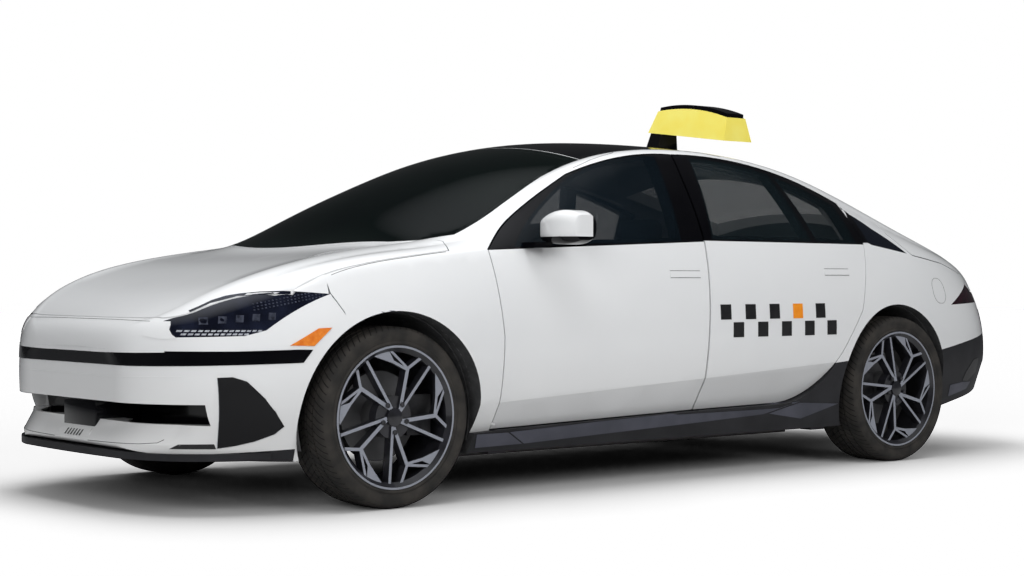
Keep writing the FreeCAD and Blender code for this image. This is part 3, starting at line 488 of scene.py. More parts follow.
# %% doors and front fenders
BELT = {"front": ((0.9405, 0.987), (0.02, 1.024)), "rear": ((-0.12, 1.034), (-1.18, 1.031))}
CREASE_ENDS = [(1.072 + AXLE_MID, 0.376), (-0.124 + AXLE_MID, 0.438), (-1.014 + AXLE_MID, 0.486)]
CREASE = {"front": CREASE_ENDS[:2], "rear": CREASE_ENDS[1:]}
WHEEL_SIDE = 1.2 + AXLE_MID
for row, line in BELT.items():
    for side in SIDES:
        name = f"door_{row}_{side}"
        made = merged(name)
        cut_along(made, line)
        tucked(made, CREASE[row])
        for face in made.faces:
            face.material_index = int(above(line, face.calc_center_median()) > 0)
            # Faces below the crease take the greyer pearl: painted shade.
            if above(CREASE[row], face.calc_center_median()) < 0:
                face.material_index = 2
        panel(name, [pearl, gloss_black, pearl_painted_shade], made)
        dressed(f"door_glass_{row}_{side}", [side_glass if row == "front" else aft_glass])
made = merged("front_fenders")
tucked(made, CREASE["front"], WHEEL_SIDE)
panel("front_fenders", [pearl], made)
print("lean below the crease:", TUCK)

# %% solids that keep their own shape
for name, material in {
    "firewall": chassis, "front_bay_cover": liner_felt, "luggage_floor": liner_felt,
    "rear_knuckles": cast, "front_knuckle_left": cast, "front_knuckle_right": cast,
    "subframes": chassis, "drive_units": cast, "wheel_liners": liner_felt, "battery_pack": chassis,
    "roof_sign": sign_yellow, "roof_sign_cap": gloss_black, "roof_sign_foot": gloss_black,
    "steering_wheel": trim, "dashboard": trim,
}.items():
    dressed(name, [material], 40)

# %% [markdown]
# ## Tread
# The grooves along a tyre are cut into its section. The cross grooves are many
# and shallow, so they belong to the rubber's material, which repeats them round
# the axle by the angle of each point and paints them near black as painted shade.

# %% patterns about an axle
CROSS_GROOVES, GROOVE_SHARE, GROOVE_LEAN, TREAD_FROM = 76, 0.16, 22.0, 0.3325


def maths(material, operation, *values):
    """A Math node fed by sockets or numbers."""
    made = node(material, "ShaderNodeMath")
    made.operation = operation
    for socket, value in zip(made.inputs, values):
        feed(socket, value)
    return made.outputs["Value"]


def from_axle(material, centre):
    """Coordinates from a wheel's centre, and distance from its axle."""
    split = node(material, "ShaderNodeSeparateXYZ", Vector=spot(material, centre))
    squares = [maths(material, "POWER", split.outputs[axis], 2) for axis in "XZ"]
    return split.outputs, maths(material, "SQRT", maths(material, "ADD", *squares))


def tread_finish(corner):
    """Rubber with cross grooves about one wheel's axle, painted near black as shade."""
    material = finish("tread_" + corner, (0.022, 0.021, 0.02), (0.042, 0.038, 0.034), 14, 0.85)
    split, radius = from_axle(material, CENTRES[corner])
    turn = maths(material, "MULTIPLY", maths(material, "ARCTAN2", split["Z"], split["X"]), CROSS_GROOVES / math.tau)
    lean = maths(material, "MULTIPLY", maths(material, "ABSOLUTE", split["Y"]), GROOVE_LEAN)
    wave = maths(material, "FRACT", maths(material, "ADD", turn, lean))
    groove = maths(material, "LESS_THAN", wave, GROOVE_SHARE)
    groove_and_shade = maths(material, "MULTIPLY", groove, maths(material, "GREATER_THAN", radius, TREAD_FROM))
    # Painted shade: the grooves are laid over in near black, and the bump gives their depth.
    layered(material, groove_and_shade, (0.004, 0.004, 0.004))
    bumped(material, groove_and_shade, 0.003, invert=True)
    return material


# %% [markdown]
# ## Tyres
# A tyre is a body of revolution, so its section is drawn once and spun about the
# axle. The section has the rim guard, the swell of the side wall and the four
# grooves round the tread. Rows are (radius, distance from the middle).

# %% tyre section and spin
SIDE_WALL = [
    (0.2726, 0.100), (0.2745, 0.1125), (0.281, 0.1175), (0.2855, 0.1165), (0.289, 0.1142), (0.300, 0.1188),
    (0.314, 0.1215), (0.326, 0.119), (0.334, 0.1125), (0.3395, 0.103), (0.3428, 0.090),
]
RIBS = [(0.090, 0.061), (0.051, 0.022), (0.012, 0)]
GROOVE_DEPTH, GROOVE_SLOPE = 0.0065, 0.001
TREAD_RADIUS, CROWN = 0.345, 0.28


def tyre_section():
    """Half of the section, from bead to mid-tread."""
    rows = list(SIDE_WALL)
    for outer, inner in RIBS:
        if rows[-1][1] > outer:
            edge = TREAD_RADIUS - outer ** 2 * CROWN
            rows += [(edge - GROOVE_DEPTH, outer + GROOVE_SLOPE), (edge, outer)]
        edge = TREAD_RADIUS - inner ** 2 * CROWN
        rows.append((edge, inner))
        if inner:
            rows.append((edge - GROOVE_DEPTH, inner - GROOVE_SLOPE))
    return rows


def spun(made, loop, edges, centre, steps):
    """Turns a section once round an axle along Y."""
    bmesh.ops.spin(
        made, geom=loop + edges, cent=centre, axis=(0, 1, 0), angle=math.tau, steps=steps, use_merge=True
    )


half = tyre_section()
section = half + [(radius, -across) for radius, across in reversed(half[:-1])]
for corner, centre in CENTRES.items():
    made = bmesh.new()
    loop = [made.verts.new((centre.x, centre.y + across, centre.z + radius)) for radius, across in section]
    edges = [made.edges.new(pair) for pair in zip(loop, loop[1:] + loop[:1])]
    spun(made, loop, edges, centre, 96)
    bmesh.ops.recalc_face_normals(made, faces=made.faces[:])
    piece = place(made, f"tyre_{corner}_tread", "wheel_" + corner, [tread_finish(corner)], "tyre_rubber")
    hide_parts("tyre_" + corner)
    told(smooth(piece, 30))

# %% [markdown]
# ## Wheels
# The spokes are black castings whose outer faces are machined bright. The copy of
# the solid keeps its shape, and faces that look straight out at its front take the
# machined finish. A lathe leaves fine rings on the spokes and discs, which a sine
# of the radius draws.

# %% rims and discs
STRAIGHT, FACE_DEPTH = 0.98, 0.016
RIM_RINGS, DISC_RINGS = 9000, 3500
OUTWARD = {corner: 1 if centre.y > 0 else -1 for corner, centre in CENTRES.items()}


def turned(name, colour, roughness, centre, rings):
    """Metal with the fine rings that a lathe leaves."""
    material = finish(name, colour, roughness=roughness, metallic=0.5)
    wave = maths(material, "SINE", maths(material, "MULTIPLY", from_axle(material, centre)[1], rings))
    bumped(material, wave, 0.00008, 0.6)
    return material


for corner, centre in CENTRES.items():
    machined = turned("machined_" + corner, (0.40, 0.42, 0.48), 0.34, centre, RIM_RINGS)
    made = merged("rim_" + corner)
    front = max(vert.co.y * OUTWARD[corner] for vert in made.verts)
    for face in made.faces:
        deep = front - face.calc_center_median().y * OUTWARD[corner]
        face.material_index = int(face.normal.y * OUTWARD[corner] > STRAIGHT and deep < FACE_DEPTH)
    dressed("rim_" + corner, [rim_black, machined], 30, made)
    iron = turned("disc_iron_" + corner, (0.13, 0.13, 0.135), 0.42, centre, DISC_RINGS)
    dressed("brake_disc_" + corner, [iron], 30)
    print("rim and disc", corner)

# %% [markdown]
# ## Caps, nuts and dust shields
# Caps, nuts and the sheet shields behind the rear discs are turned shapes, so one
# helper spins them all from rows of (radius, distance outwards). A nut is a spin in
# six steps. Front shields would meet the steering arms, so there are none.

# %% caps and nuts
CAP_RADIUS, NUT_RADIUS, NUT_RING, NUTS, RECESS = 0.034, 0.0105, 0.057, 5, 0.0135
CAP = [(0, 0.006), (CAP_RADIUS * 0.8, 0.005), (CAP_RADIUS, 0.002), (CAP_RADIUS, -0.006), (0, -0.006)]
NUT = [(0, 0.008), (NUT_RADIUS * 0.6, 0.008), (NUT_RADIUS, 0.005), (NUT_RADIUS, -0.004), (0, -0.004)]


def lathed(made, rows, out, centre, outward, steps):
    """Turned shape, moved out along the axle."""
    loop = [made.verts.new(centre + Vector((0, outward * (out + across), radius))) for radius, across in rows]
    spun(made, loop, [made.edges.new(pair) for pair in zip(loop, loop[1:])], centre, steps)


def closed(made):
    """Merged seams, and normals that point outwards."""
    bmesh.ops.remove_doubles(made, verts=made.verts, dist=0.00005)
    bmesh.ops.recalc_face_normals(made, faces=made.faces[:])
    return made


for corner, centre in CENTRES.items():
    low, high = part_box("rim_" + corner)
    face_y = abs((high if OUTWARD[corner] > 0 else low).y - centre.y) - RECESS
    made = bmesh.new()
    lathed(made, CAP, face_y, centre, OUTWARD[corner], 40)
    for number in range(NUTS):
        turn = math.tau * (number + 0.5) / NUTS
        middle = centre + Vector((math.sin(turn), 0, math.cos(turn))) * NUT_RING
        lathed(made, NUT, face_y, middle, OUTWARD[corner], 6)
    smooth(place(closed(made), "cap_and_nuts_" + corner, "wheel_" + corner, [rim_black], "rim_alloy"), 30)
print("a cap and", NUTS, "nuts on each wheel")

# %% rear dust shields
SHIELD = [(0.075, 0.066), (0.075, 0.069), (0.200, 0.069), (0.236, 0.086), (0.239, 0.084), (0.202, 0.066)]
for corner in ("rear_left", "rear_right"):
    centre = CENTRES[corner]
    inner_y = min(abs(end.y) for end in TYRES[corner])
    made = bmesh.new()
    lathed(made, SHIELD + SHIELD[:1], inner_y - abs(centre.y), centre, OUTWARD[corner], 48)
    smooth(place(closed(made), "dust_shield_" + corner, "body", [chassis], "chassis_steel"), 30)
print("the shields are", 2 * max(SHIELD)[0], "m across")

# %% [markdown]
# ## Laying trim on the body
# Lamps, films and seams follow the body's curves. Each is drawn as a flat outline
# beside the car, cut into strips so that it can bend, and dropped on the skin along
# one direction, as a decal is laid on a panel. A shrinkwrap modifier could do this
# too, but it can slide past a panel's edge. A thin wall then gives the piece body.

# %% the skin that trim is laid on
OUTSIDE = """
    hood trunk_lid front_bumper front_fenders rear_bumper lower_cladding bumper_trim headlamps tail_lamps
    windshield roof_panel rear_window quarter_windows body_frame
""".split() + [f"{kind}_{row}_{side}" for kind in ("door", "door_glass") for row in ("front", "rear") for side in SIDES]
VIEWS = {
    # view: (first axis, second axis, direction in which pieces drop)
    "left": (X, Z, -Y), "right": (X, Z, Y), "front": (Y, Z, -X), "rear": (Y, Z, X), "top": (X, Y, -Z),
}
SLOT_OF = {
    pearl: "white_paint", plate_white: "white_paint", gloss_black: "black_gloss", film_black: "black_gloss",
    orange: "sign_yellow", amber_lens: "tail_red", red_lens: "tail_red", painted_highlight_grey: "dark_cladding",
    silver: "lamp_lens", module_glass: "lamp_lens", smoked: "lamp_lens", mirror_glass: "clear_glass",
}


def skin_of(names):
    """What rays land on: the dressed copies of some nodes."""
    made = bmesh.new()
    for name in names:
        made.from_mesh(bpy.data.objects[name + "_skin"].data)
    tree = BVHTree.FromBMesh(made)
    made.free()
    return tree


skin = skin_of(OUTSIDE)
print("trim lands on", len(OUTSIDE), "panels")


# %% dropping on the skin
def dropped(start, toward, lift, onto):
    """Where a point lands on a skin, raised from it by a lift."""
    hit, normal, _, _ = onto.ray_cast(start, toward)
    if hit is None:
        hit, normal, _, _ = onto.find_nearest(start)
    if normal.dot(toward) > 0:
        normal = -normal
    return hit + normal * lift


def beside(view, points):
    """A drawing held beside the car, with x from the middle of the wheelbase."""
    first, second, toward = VIEWS[view]
    middle = AXLE_MID if first is X else 0
    return [first * (a + middle) + second * b - toward * START for a, b in points]


def across(points, mirror):
    """Points seen from the front or rear, on one side of the middle."""
    return [(y * mirror, z) for y, z in points]


def facing(made, outward):
    """Turns the faces that look the wrong way."""
    for face in made.faces:
        face.normal_update()
        if face.normal.dot(outward) < 0:
            face.normal_flip()


def walled(piece, thickness, offset):
    """Gives a thin piece its body."""
    solid = piece.modifiers.new("wall", "SOLIDIFY")
    solid.thickness, solid.offset = thickness, offset


def laid(name, view, outlines, material, lift=0.0006, wall=0.0014, step=0.035, body="body", onto=skin):
    """Thin piece whose flat outlines are dropped on the skin."""
    first, second, toward = VIEWS[view]
    made = bmesh.new()
    for outline in outlines:
        made.faces.new([made.verts.new(corner) for corner in beside(view, outline)])
    for axis in (first, second):
        low = min(vert.co.dot(axis) for vert in made.verts)
        high = max(vert.co.dot(axis) for vert in made.verts)
        for number in range(1, int((high - low) / step) + 1):
            cut(made, axis * (low + number * step), axis)
    bmesh.ops.triangulate(made, faces=made.faces[:])
    for vert in made.verts:
        vert.co = dropped(vert.co, toward, lift, onto)
    facing(made, -toward)
    walled(smooth(place(made, name, body, [material], SLOT_OF[material]), 40), wall, 1)


# %% fine lines
def seam(name, view, runs, material, radius, lift=0.0, step=0.03, body="body"):
    """Round bead along runs of points that are dropped on the skin."""
    curve = bpy.data.curves.new(name, "CURVE")
    curve.dimensions, curve.bevel_depth, curve.bevel_resolution = "3D", radius, 1
    for run in runs:
        corners = beside(view, run)
        stops = corners[:1]
        for start, end in zip(corners, corners[1:]):
            count = max(1, round((end - start).length / step))
            stops += [start.lerp(end, number / count) for number in range(1, count + 1)]
        spline = curve.splines.new("POLY")
        spline.points.add(len(stops) - 1)
        for point, stop in zip(spline.points, stops):
            point.co = (*dropped(stop, VIEWS[view][2], lift, skin), 1)
    carrier = bpy.data.objects.new(name, curve)
    data = bpy.data.meshes.new_from_object(carrier)
    bpy.data.objects.remove(carrier)
    data.materials.clear()
    data.materials.append(material)
    piece = smooth(added(name, data), 60)
    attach(piece, body)


# %% [markdown]
# ## Marks of a taxi
# The rear doors carry a band of plain squares in black with one in orange. It is
# film, so it is laid on the skin with almost no thickness.

# %% door bands
BAND_START, BAND_TOP, SQUARE, BAND_GAP, FILM = -0.235, 0.757, 0.066, 0.012, 0.0006
COLUMNS, ROWS, ORANGE_SQUARE = 10, 2, (6, 0)
squares = {film_black: [], orange: []}
for column in range(COLUMNS):
    for row in range(ROWS):
        if (column + row) % 2 == 0:
            x = BAND_START - column * (SQUARE + BAND_GAP)
            z = BAND_TOP - row * (SQUARE + BAND_GAP)
            square = [(x, z), (x - SQUARE, z), (x - SQUARE, z - SQUARE), (x, z - SQUARE)]
            squares[orange if (column, row) == ORANGE_SQUARE else film_black].append(square)
for side in SIDES:
    for colour, material in (("black", film_black), ("orange", orange)):
        laid(f"band_{colour}_{side}", side, squares[material], material, wall=FILM, body="door_rear_" + side)
print({material.name: len(drawn) for material, drawn in squares.items()})

# %% [markdown]
# ## Side details
# Flush handles show only as two fine lines in each door. The marker lamp in front
# of the wheel is amber, and the flap over the charging socket is an oval outline.

# %% handles and marker lamps
HANDLES = {"front": (0.05, -0.13, 0.873), "rear": (-0.95, -1.13, 0.885)}
HANDLE_HEIGHT, INSET = 0.03, 0.002
MARKER = [(1.92, 0.625), (1.832, 0.622), (1.76, 0.688), (1.812, 0.686)]
for side in SIDES:
    for row, (front_x, rear_x, low) in HANDLES.items():
        body = f"door_{row}_{side}"
        lines = [[(front_x, z), (rear_x, z)] for z in (low, low + HANDLE_HEIGHT)]
        seam(f"handle_{row}_{side}", side, lines, film_black, 0.0011, body=body)
        face_low, face_high, face_end = low + INSET, low + HANDLE_HEIGHT - INSET, rear_x + INSET
        face = [(front_x, face_low), (face_end, face_low), (face_end, face_high), (front_x, face_high)]
        laid(f"handle_face_{row}_{side}", side, [face], pearl, 0.0002, 0.0012, body=body)
    laid("marker_lamp_" + side, side, [MARKER], amber_lens, 0.0004, 0.003, 0.02)
print("handles:", ", ".join(HANDLES))

# %% charging flap
FLAP_X, FLAP_Z, FLAP_CORNER, FLAP_STEPS = (-1.914, -1.80), (0.749, 0.872), 0.05, 28
flap = []
for number in range(FLAP_STEPS + 1):
    turn = math.tau * number / FLAP_STEPS
    east, north = math.cos(turn) >= 0, math.sin(turn) >= 0
    middle_x = FLAP_X[1] - FLAP_CORNER if east else FLAP_X[0] + FLAP_CORNER
    middle_z = FLAP_Z[1] - FLAP_CORNER if north else FLAP_Z[0] + FLAP_CORNER
    flap.append((middle_x + FLAP_CORNER * math.cos(turn), middle_z + FLAP_CORNER * math.sin(turn)))
flap.append(flap[0])
seam("charging_flap", "left", [flap], film_black, 0.0009, 0, 0.02)
print("the flap's outline has", len(flap), "points")

# %% [markdown]
# ## Rails and sills
# A fine dark line parts the roof rail from the door frames. The sill is one dark
# moulding, and paler faces are laid on it where its facets catch the light, as a
# painted highlight.

# %% rail lines and painted sill highlights
RAIL = [
    (0.427, 1.334), (0.320, 1.372), (0.257, 1.390), (0.136, 1.418), (-0.015, 1.433), (-0.120, 1.437),
    (-0.242, 1.438), (-0.372, 1.434), (-0.488, 1.419),
]
SILL_HIGHLIGHTS = [
    [
        (0.902, 0.259), (0.425, 0.279), (-0.155, 0.298), (-0.797, 0.311), (-0.562, 0.264), (-0.168, 0.247),
        (0.412, 0.225), (0.821, 0.209),
    ],
    [(1.069, 0.258), (0.912, 0.258), (0.831, 0.209), (1.069, 0.205)],
    [(-0.797, 0.306), (-0.60, 0.265), (-0.818, 0.232), (-1.067, 0.290)],
]
for side in SIDES:
    seam("rail_line_" + side, side, [RAIL], film_black, 0.0012)
    # Paler faces on the sill: a painted highlight.
    laid("sill_facets_" + side, side, SILL_HIGHLIGHTS, painted_highlight_grey, 0.0006, 0.0015, 0.04)
print(len(SILL_HIGHLIGHTS), "facets on each sill")

# %% [markdown]
# ## Nose
# The air curtains are gloss black fins at the corners of the bumper, and a black
# strip runs from one front wheel to the other. Round the corners it is laid from
# the sides, because rays from ahead would only graze the skin there.

# %% air curtains and nose strip
FIN = [
    (2.133, 0.253), (2.155, 0.511), (2.110, 0.513), (2.066, 0.497), (2.015, 0.445), (1.965, 0.385),
    (1.925, 0.330), (1.955, 0.302), (2.020, 0.277), (2.080, 0.262),
]
STRIP_SIDE = [
    (2.215, 0.602), (2.024, 0.607), (1.891, 0.610), (1.837, 0.6085), (1.873, 0.562), (1.892, 0.561),
    (2.025, 0.558), (2.215, 0.553),
]
STRIP_TOP = [(0.25, 0.594), (0.47, 0.597), (0.60, 0.600), (0.72, 0.6025)]
STRIP_LOW = [(0.72, 0.5535), (0.60, 0.551), (0.47, 0.549), (0.25, 0.549)]
BROW_LOW = [(0.25, 0.5945), (0.47, 0.5975), (0.60, 0.6005)]
BROW_TOP = 0.608


def mirrored(half):
    """The same run on the other side of the nose, reversed."""
    return across(reversed(half), -1)


strip = mirrored(STRIP_TOP) + STRIP_TOP + STRIP_LOW + mirrored(STRIP_LOW)
laid("strip_front", "front", [strip], gloss_black, 0.0006, 0.0016, 0.03)
brow = mirrored(BROW_LOW) + BROW_LOW + [(BROW_LOW[-1][0], BROW_TOP), (-BROW_LOW[-1][0], BROW_TOP)]
laid("strip_brow", "front", [brow], pearl, 0.0005, 0.0014, 0.03)
for side in SIDES:
    laid("strip_side_" + side, side, [STRIP_SIDE], gloss_black, 0.0006, 0.0016, 0.025)
    laid("air_curtain_" + side, side, [FIN], gloss_black, 0.0005, 0.003, 0.02)
    seam("air_curtain_edge_" + side, side, [FIN[:2]], silver, 0.002)
print("the strip is", round(STRIP_TOP[0][1] - STRIP_LOW[-1][1], 3), "m tall")

# %% [markdown]
# ## Sensor housing and lip
# A sensor housing sits in the middle of the intake, with a small grille plate on
# the ramp below it. The housing is a rounded box, because a film laid over the
# ramp's top step would tear.


# %% sensor housing
def blocky(made, low, high, lean=0.0):
    """Block between two corners, with x from the middle of the wheelbase."""
    for vert in bmesh.ops.create_cube(made, size=1)["verts"]:
        share = vert.co + Vector((0.5, 0.5, 0.5))
        vert.co = Vector([a + (b - a) * c for a, b, c in zip(low, high, share)])
        vert.co.x += AXLE_MID - lean * share.z


def rounded(made, radius, segments=2):
    """All edges of the piece bevelled."""
    bmesh.ops.bevel(
        made, geom=made.edges[:], offset=radius, segments=segments, affect="EDGES", profile=0.5, material=-1
    )


made = bmesh.new()
blocky(made, (2.13, -0.133, 0.300), (2.322, 0.133, 0.410))
rounded(made, 0.006)
told(smooth(place(made, "sensor_housing", "body", [gloss_black], "black_gloss"), 40))

# %% lip plate, slits and lines
PLATE = [(-0.135, 0.254), (0.135, 0.254), (0.12, 0.300), (-0.12, 0.300)]
SLIT = [(-0.066, 0.268), (-0.058, 0.268), (-0.054, 0.290), (-0.062, 0.290)]
SLITS, SLIT_PITCH = 6, 0.024
LIP_LINE = [(0.14, 0.2575), (0.24, 0.259), (0.484, 0.264), (0.55, 0.270), (0.568, 0.282)]
LIP_SLOT = [(0.590, 0.249), (0.712, 0.250), (0.712, 0.268), (0.620, 0.266)]
NOSE_CREASE = [(-0.66, 0.511), (-0.3, 0.505), (0.3, 0.505), (0.66, 0.513)]
laid("lip_plate", "front", [PLATE], pearl, 0.0004, 0.0022, 0.03)
slits = [[(y + number * SLIT_PITCH, z) for y, z in SLIT] for number in range(SLITS)]
laid("lip_slits", "front", slits, film_black, 0.0028, 0.0006, 0.03)
seam("lip_line", "front", [across(LIP_LINE, mirror) for mirror in SIDES.values()], film_black, 0.0012)
for side, mirror in SIDES.items():
    laid("lip_slot_" + side, "front", [across(LIP_SLOT, mirror)], film_black, 0.0005, 0.001, 0.02)
seam("nose_crease", "front", [NOSE_CREASE], pearl, 0.0022, -0.0012)
print(SLITS, "slits in the plate")

# %% [markdown]
# ## Fender tips
# A small white tip reaches from the fender over the rear end of each headlamp, in
# line with the hood's edge. Four curves along it are bridged into a patch, which a
# wall then thickens.

# %% fender tips
TIP_X = (1.757, 1.775, 1.797, 1.820, 1.843, 1.868, 1.885)
TIP_CURVES = [
    # y and z at each x, from the lower edge to the upper one
    ((0.8775, 0.873, 0.8665, 0.8605, 0.8535, 0.8465, 0.8415), (0.813, 0.8145, 0.816, 0.818, 0.8195, 0.8215, 0.8225)),
    ((0.8675, 0.8625, 0.858, 0.8535, 0.8475, 0.842, 0.839), (0.845, 0.845, 0.843, 0.840, 0.837, 0.830, 0.824)),
    ((0.861, 0.856, 0.852, 0.8475, 0.843, 0.8395, 0.8375), (0.866, 0.863, 0.856, 0.849, 0.842, 0.832, 0.8248)),
    ((0.848, 0.8445, 0.8425, 0.841, 0.8395, 0.838, 0.8365), (0.884, 0.876, 0.8655, 0.8545, 0.8445, 0.8335, 0.8255)),
]
TIP_WALL = 0.003


def fender_tip(side, mirror):
    """Patch through the curves, on one side of the nose."""
    made = bmesh.new()
    runs = []
    for curve in TIP_CURVES:
        line = [made.verts.new((x + AXLE_MID, y * mirror, z)) for x, y, z in zip(TIP_X, *curve)]
        runs.append([made.edges.new(pair) for pair in zip(line, line[1:])])
    for lower, upper in zip(runs, runs[1:]):
        bmesh.ops.bridge_loops(made, edges=lower + upper)
    bmesh.ops.recalc_face_normals(made, faces=made.faces[:])
    facing(made, Y * mirror)
    piece = smooth(place(made, "fender_tip_" + side, "body", [pearl], "white_paint"), 60)
    walled(piece, TIP_WALL, -1)
    told(piece)


# %% [markdown]
# ## Lamp and hood edges
# The lamp's dark lens laps over the hood as a thin brow, which rides on the hood
# and is dropped on it alone. White paint covers the lamp's front tip, and fine
# lines mark where the hood ends.

# %% lamp brows, lamp tips and hood lines
BROW = [
    (1.895, 0.812), (1.960, 0.811), (2.060, 0.805), (2.140, 0.779), (2.200, 0.746), (2.200, 0.752), (2.130, 0.790),
    (2.090, 0.805), (2.049, 0.814), (1.992, 0.821), (1.920, 0.8235), (1.895, 0.8225),
]
LAMP_TIP = [
    (0.50, 0.660), (0.50, 0.712), (0.592, 0.712), (0.600, 0.700), (0.603, 0.684), (0.618, 0.666), (0.640, 0.651),
    (0.58, 0.648),
]
HOOD_FRONT = [(-0.53, 0.712), (-0.25, 0.7155), (0.25, 0.7155), (0.53, 0.712)]
HOOD_SIDE = [(1.762, 0.8545), (1.60, 0.8575), (1.20, 0.8585)]
hood_only = skin_of(["hood"])
for side, mirror in SIDES.items():
    fender_tip(side, mirror)
    laid("lamp_brow_" + side, side, [BROW], smoked, 0.0006, 0.001, 0.02, "hood", hood_only)
    laid("lamp_tip_" + side, "front", [across(LAMP_TIP, mirror)], pearl, 0.0005, 0.0015, 0.015)
seam("hood_front_line", "front", [HOOD_FRONT], film_black, 0.0011)
hood_sides = [[(x, y * mirror) for x, y in HOOD_SIDE] for mirror in SIDES.values()]
seam("hood_side_lines", "top", hood_sides, film_black, 0.0012)
print("the brow has", len(BROW), "corners")

# %% [markdown]
# ## Lamp insides
# Behind the smoked lens are two rows of small bright bars along the bottom, five
# dark modules in the middle and a fine mesh toward the rear.

# %% headlamp rows, modules and mesh
ROW_PITCH, ROW_START, ROW_BARS = 0.0175, 2.246, (11, 14)
MODULES, MESH_COLUMNS, MESH_ROWS = 5, 20, 3


def bar(x, z, length, height, lean=0.0):
    """Small leaning rectangle, seen from the side."""
    return [(x, z), (x - length, z), (x - length - lean, z + height), (x - lean, z + height)]


rows = [bar(ROW_START - n * ROW_PITCH, 0.6635, 0.0125, 0.0065, 0.004) for n in range(ROW_BARS[0])]
rows += [bar(ROW_START + 0.008 - n * ROW_PITCH, 0.6755, 0.0125, 0.0065, 0.004) for n in range(ROW_BARS[1])]
modules = [bar(2.195 - n * 0.052, 0.702 + n * 0.004, 0.024, 0.026, 0.005) for n in range(MODULES)]
mesh = [
    bar(2.03 - column * 0.013, 0.752 + row * 0.011 + column * 0.0026, 0.006, 0.005)
    for column in range(MESH_COLUMNS) for row in range(MESH_ROWS)
]
for side in SIDES:
    laid("lamp_rows_" + side, side, rows, silver, 0.0003, 0.0008, 0.05)
    laid("lamp_modules_" + side, side, modules, module_glass, 0.0003, 0.0008, 0.05)
    laid("lamp_mesh_" + side, side, mesh, module_glass, 0.0002, 0.0006, 0.05)
print(len(rows), "bars,", len(modules), "modules,", len(mesh), "mesh cells in each lamp")

# %% [markdown]
# ## Window corners
# The black of the windows runs on to a point behind the rear door, so the narrow
# post there is covered.

# %% window corners
CORNER = [(-1.2665, 1.218), (-1.3165, 1.040), (-1.354, 1.040), (-1.320, 1.178)]
CORNER_EDGE = [(-1.232, 1.2375), (-1.250, 1.229)] + CORNER[:2]
for side in SIDES:
    laid("window_corner_" + side, side, [CORNER], gloss_black, 0.0004, 0.0012, 0.02)
    seam("window_corner_edge_" + side, side, [CORNER_EDGE], gloss_black, 0.0028, -0.001)
print("the corner is", round(CORNER[0][1] - CORNER[1][1], 3), "m tall")

# %% [markdown]
# ## Mirrors
# Each mirror has a white cap over a black foot, and glass that looks aft. The copy
# is cut where the cap ends, and the pane is dropped on the mirror alone.

# %% mirrors
CAP_LOW, CAP_AFT, PANE_OUT, PANE_DOWN = 1.036, 0.028, 0.03, 0.068
PANE_HALF, PANE_POWER, PANE_STEPS = (0.062, 0.044), 0.6, 32


def squarish(value):
    """Pushes a circle's sine or cosine out towards a square's."""
    return math.copysign(abs(value) ** PANE_POWER, value)


for side, mirror in SIDES.items():
    name = "mirror_" + side
    low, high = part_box(name)
    aft = low.x + CAP_AFT
    made = merged(name)
    cut(made, (0, 0, CAP_LOW), Z)
    cut(made, (aft, 0, 0), X)
    for face in made.faces:
        middle = face.calc_center_median()
        face.material_index = int(middle.z < CAP_LOW or middle.x < aft)
    dressed(name, [pearl, gloss_black], 40, made)
    middle_y, middle_z = (low.y + high.y) / 2 + PANE_OUT * mirror, high.z - PANE_DOWN
    turns = [math.tau * number / PANE_STEPS for number in range(PANE_STEPS)]
    pane = [
        (middle_y + PANE_HALF[0] * squarish(math.cos(turn)), middle_z + PANE_HALF[1] * squarish(math.sin(turn)))
        for turn in turns
    ]
    laid("mirror_pane_" + side, "rear", [pane], mirror_glass, 0.0005, 0.0015, 0.03, body_of[name], skin_of([name]))
    print(name, "from y", round(low.y, 3), "to", round(high.y, 3))

# %% [markdown]
# ## Tail
# A light bar joins the tail lamps across the trunk lid, and the plate below it is
# blank. Dark vents break up the cladding behind each rear wheel, and a grey face
# is laid there as a painted highlight.

# %% light bar, plate and rear vents
BAR = [(-0.60, 0.818), (0.60, 0.818), (0.60, 0.842), (-0.60, 0.842)]
PLATE_FRAME = [(-0.27, 0.592), (0.27, 0.592), (0.27, 0.716), (-0.27, 0.716)]
PLATE_FACE = [(-0.26, 0.60), (0.26, 0.60), (0.26, 0.708), (-0.26, 0.708)]
VENT = [(-2.085, 0.36), (-2.105, 0.402), (-2.162, 0.462), (-2.225, 0.470), (-2.235, 0.40), (-2.142, 0.356)]
REAR_HIGHLIGHT = [(-1.965, 0.285), (-1.965, 0.342), (-2.08, 0.352), (-2.185, 0.350), (-2.15, 0.315)]
laid("light_bar", "rear", [BAR], red_lens, 0.0003, 0.001, 0.04, "trunk_lid")
laid("plate_frame", "rear", [PLATE_FRAME], film_black, 0.0002, 0.0006, 0.06)
laid("plate_face", "rear", [PLATE_FACE], plate_white, 0.0009, 0.0004, 0.06)
for side in SIDES:
    laid("rear_vent_" + side, side, [VENT], film_black, 0.0005, 0.0015, 0.03)
    # A grey face on the cladding: a painted highlight.
    laid("rear_facet_" + side, side, [REAR_HIGHLIGHT], painted_highlight_grey, 0.0005, 0.0015, 0.03)
print("the plate is", PLATE_FACE[1][0] * 2, "m wide")

# %% [markdown]
# ## Seats
# Seats are foam under a sewn cover. Each pad starts as a plain block a little
# smaller than its place. The block is remeshed, filled with a light pressure so
# that its faces crown and its sides pull in, and then made smooth.

# %% pads
FRAMES, PRESSURE, SWELL, PAD_EDGE, FILL = 16, 4.0, 0.014, 0.03, 0.9


def settle(piece):
    """Applies the piece's modifiers to its mesh."""
    result = bpy.data.meshes.new_from_object(piece.evaluated_get(bpy.context.evaluated_depsgraph_get()))
    old, piece.data = piece.data, result
    piece.modifiers.clear()
    bpy.data.meshes.remove(old)


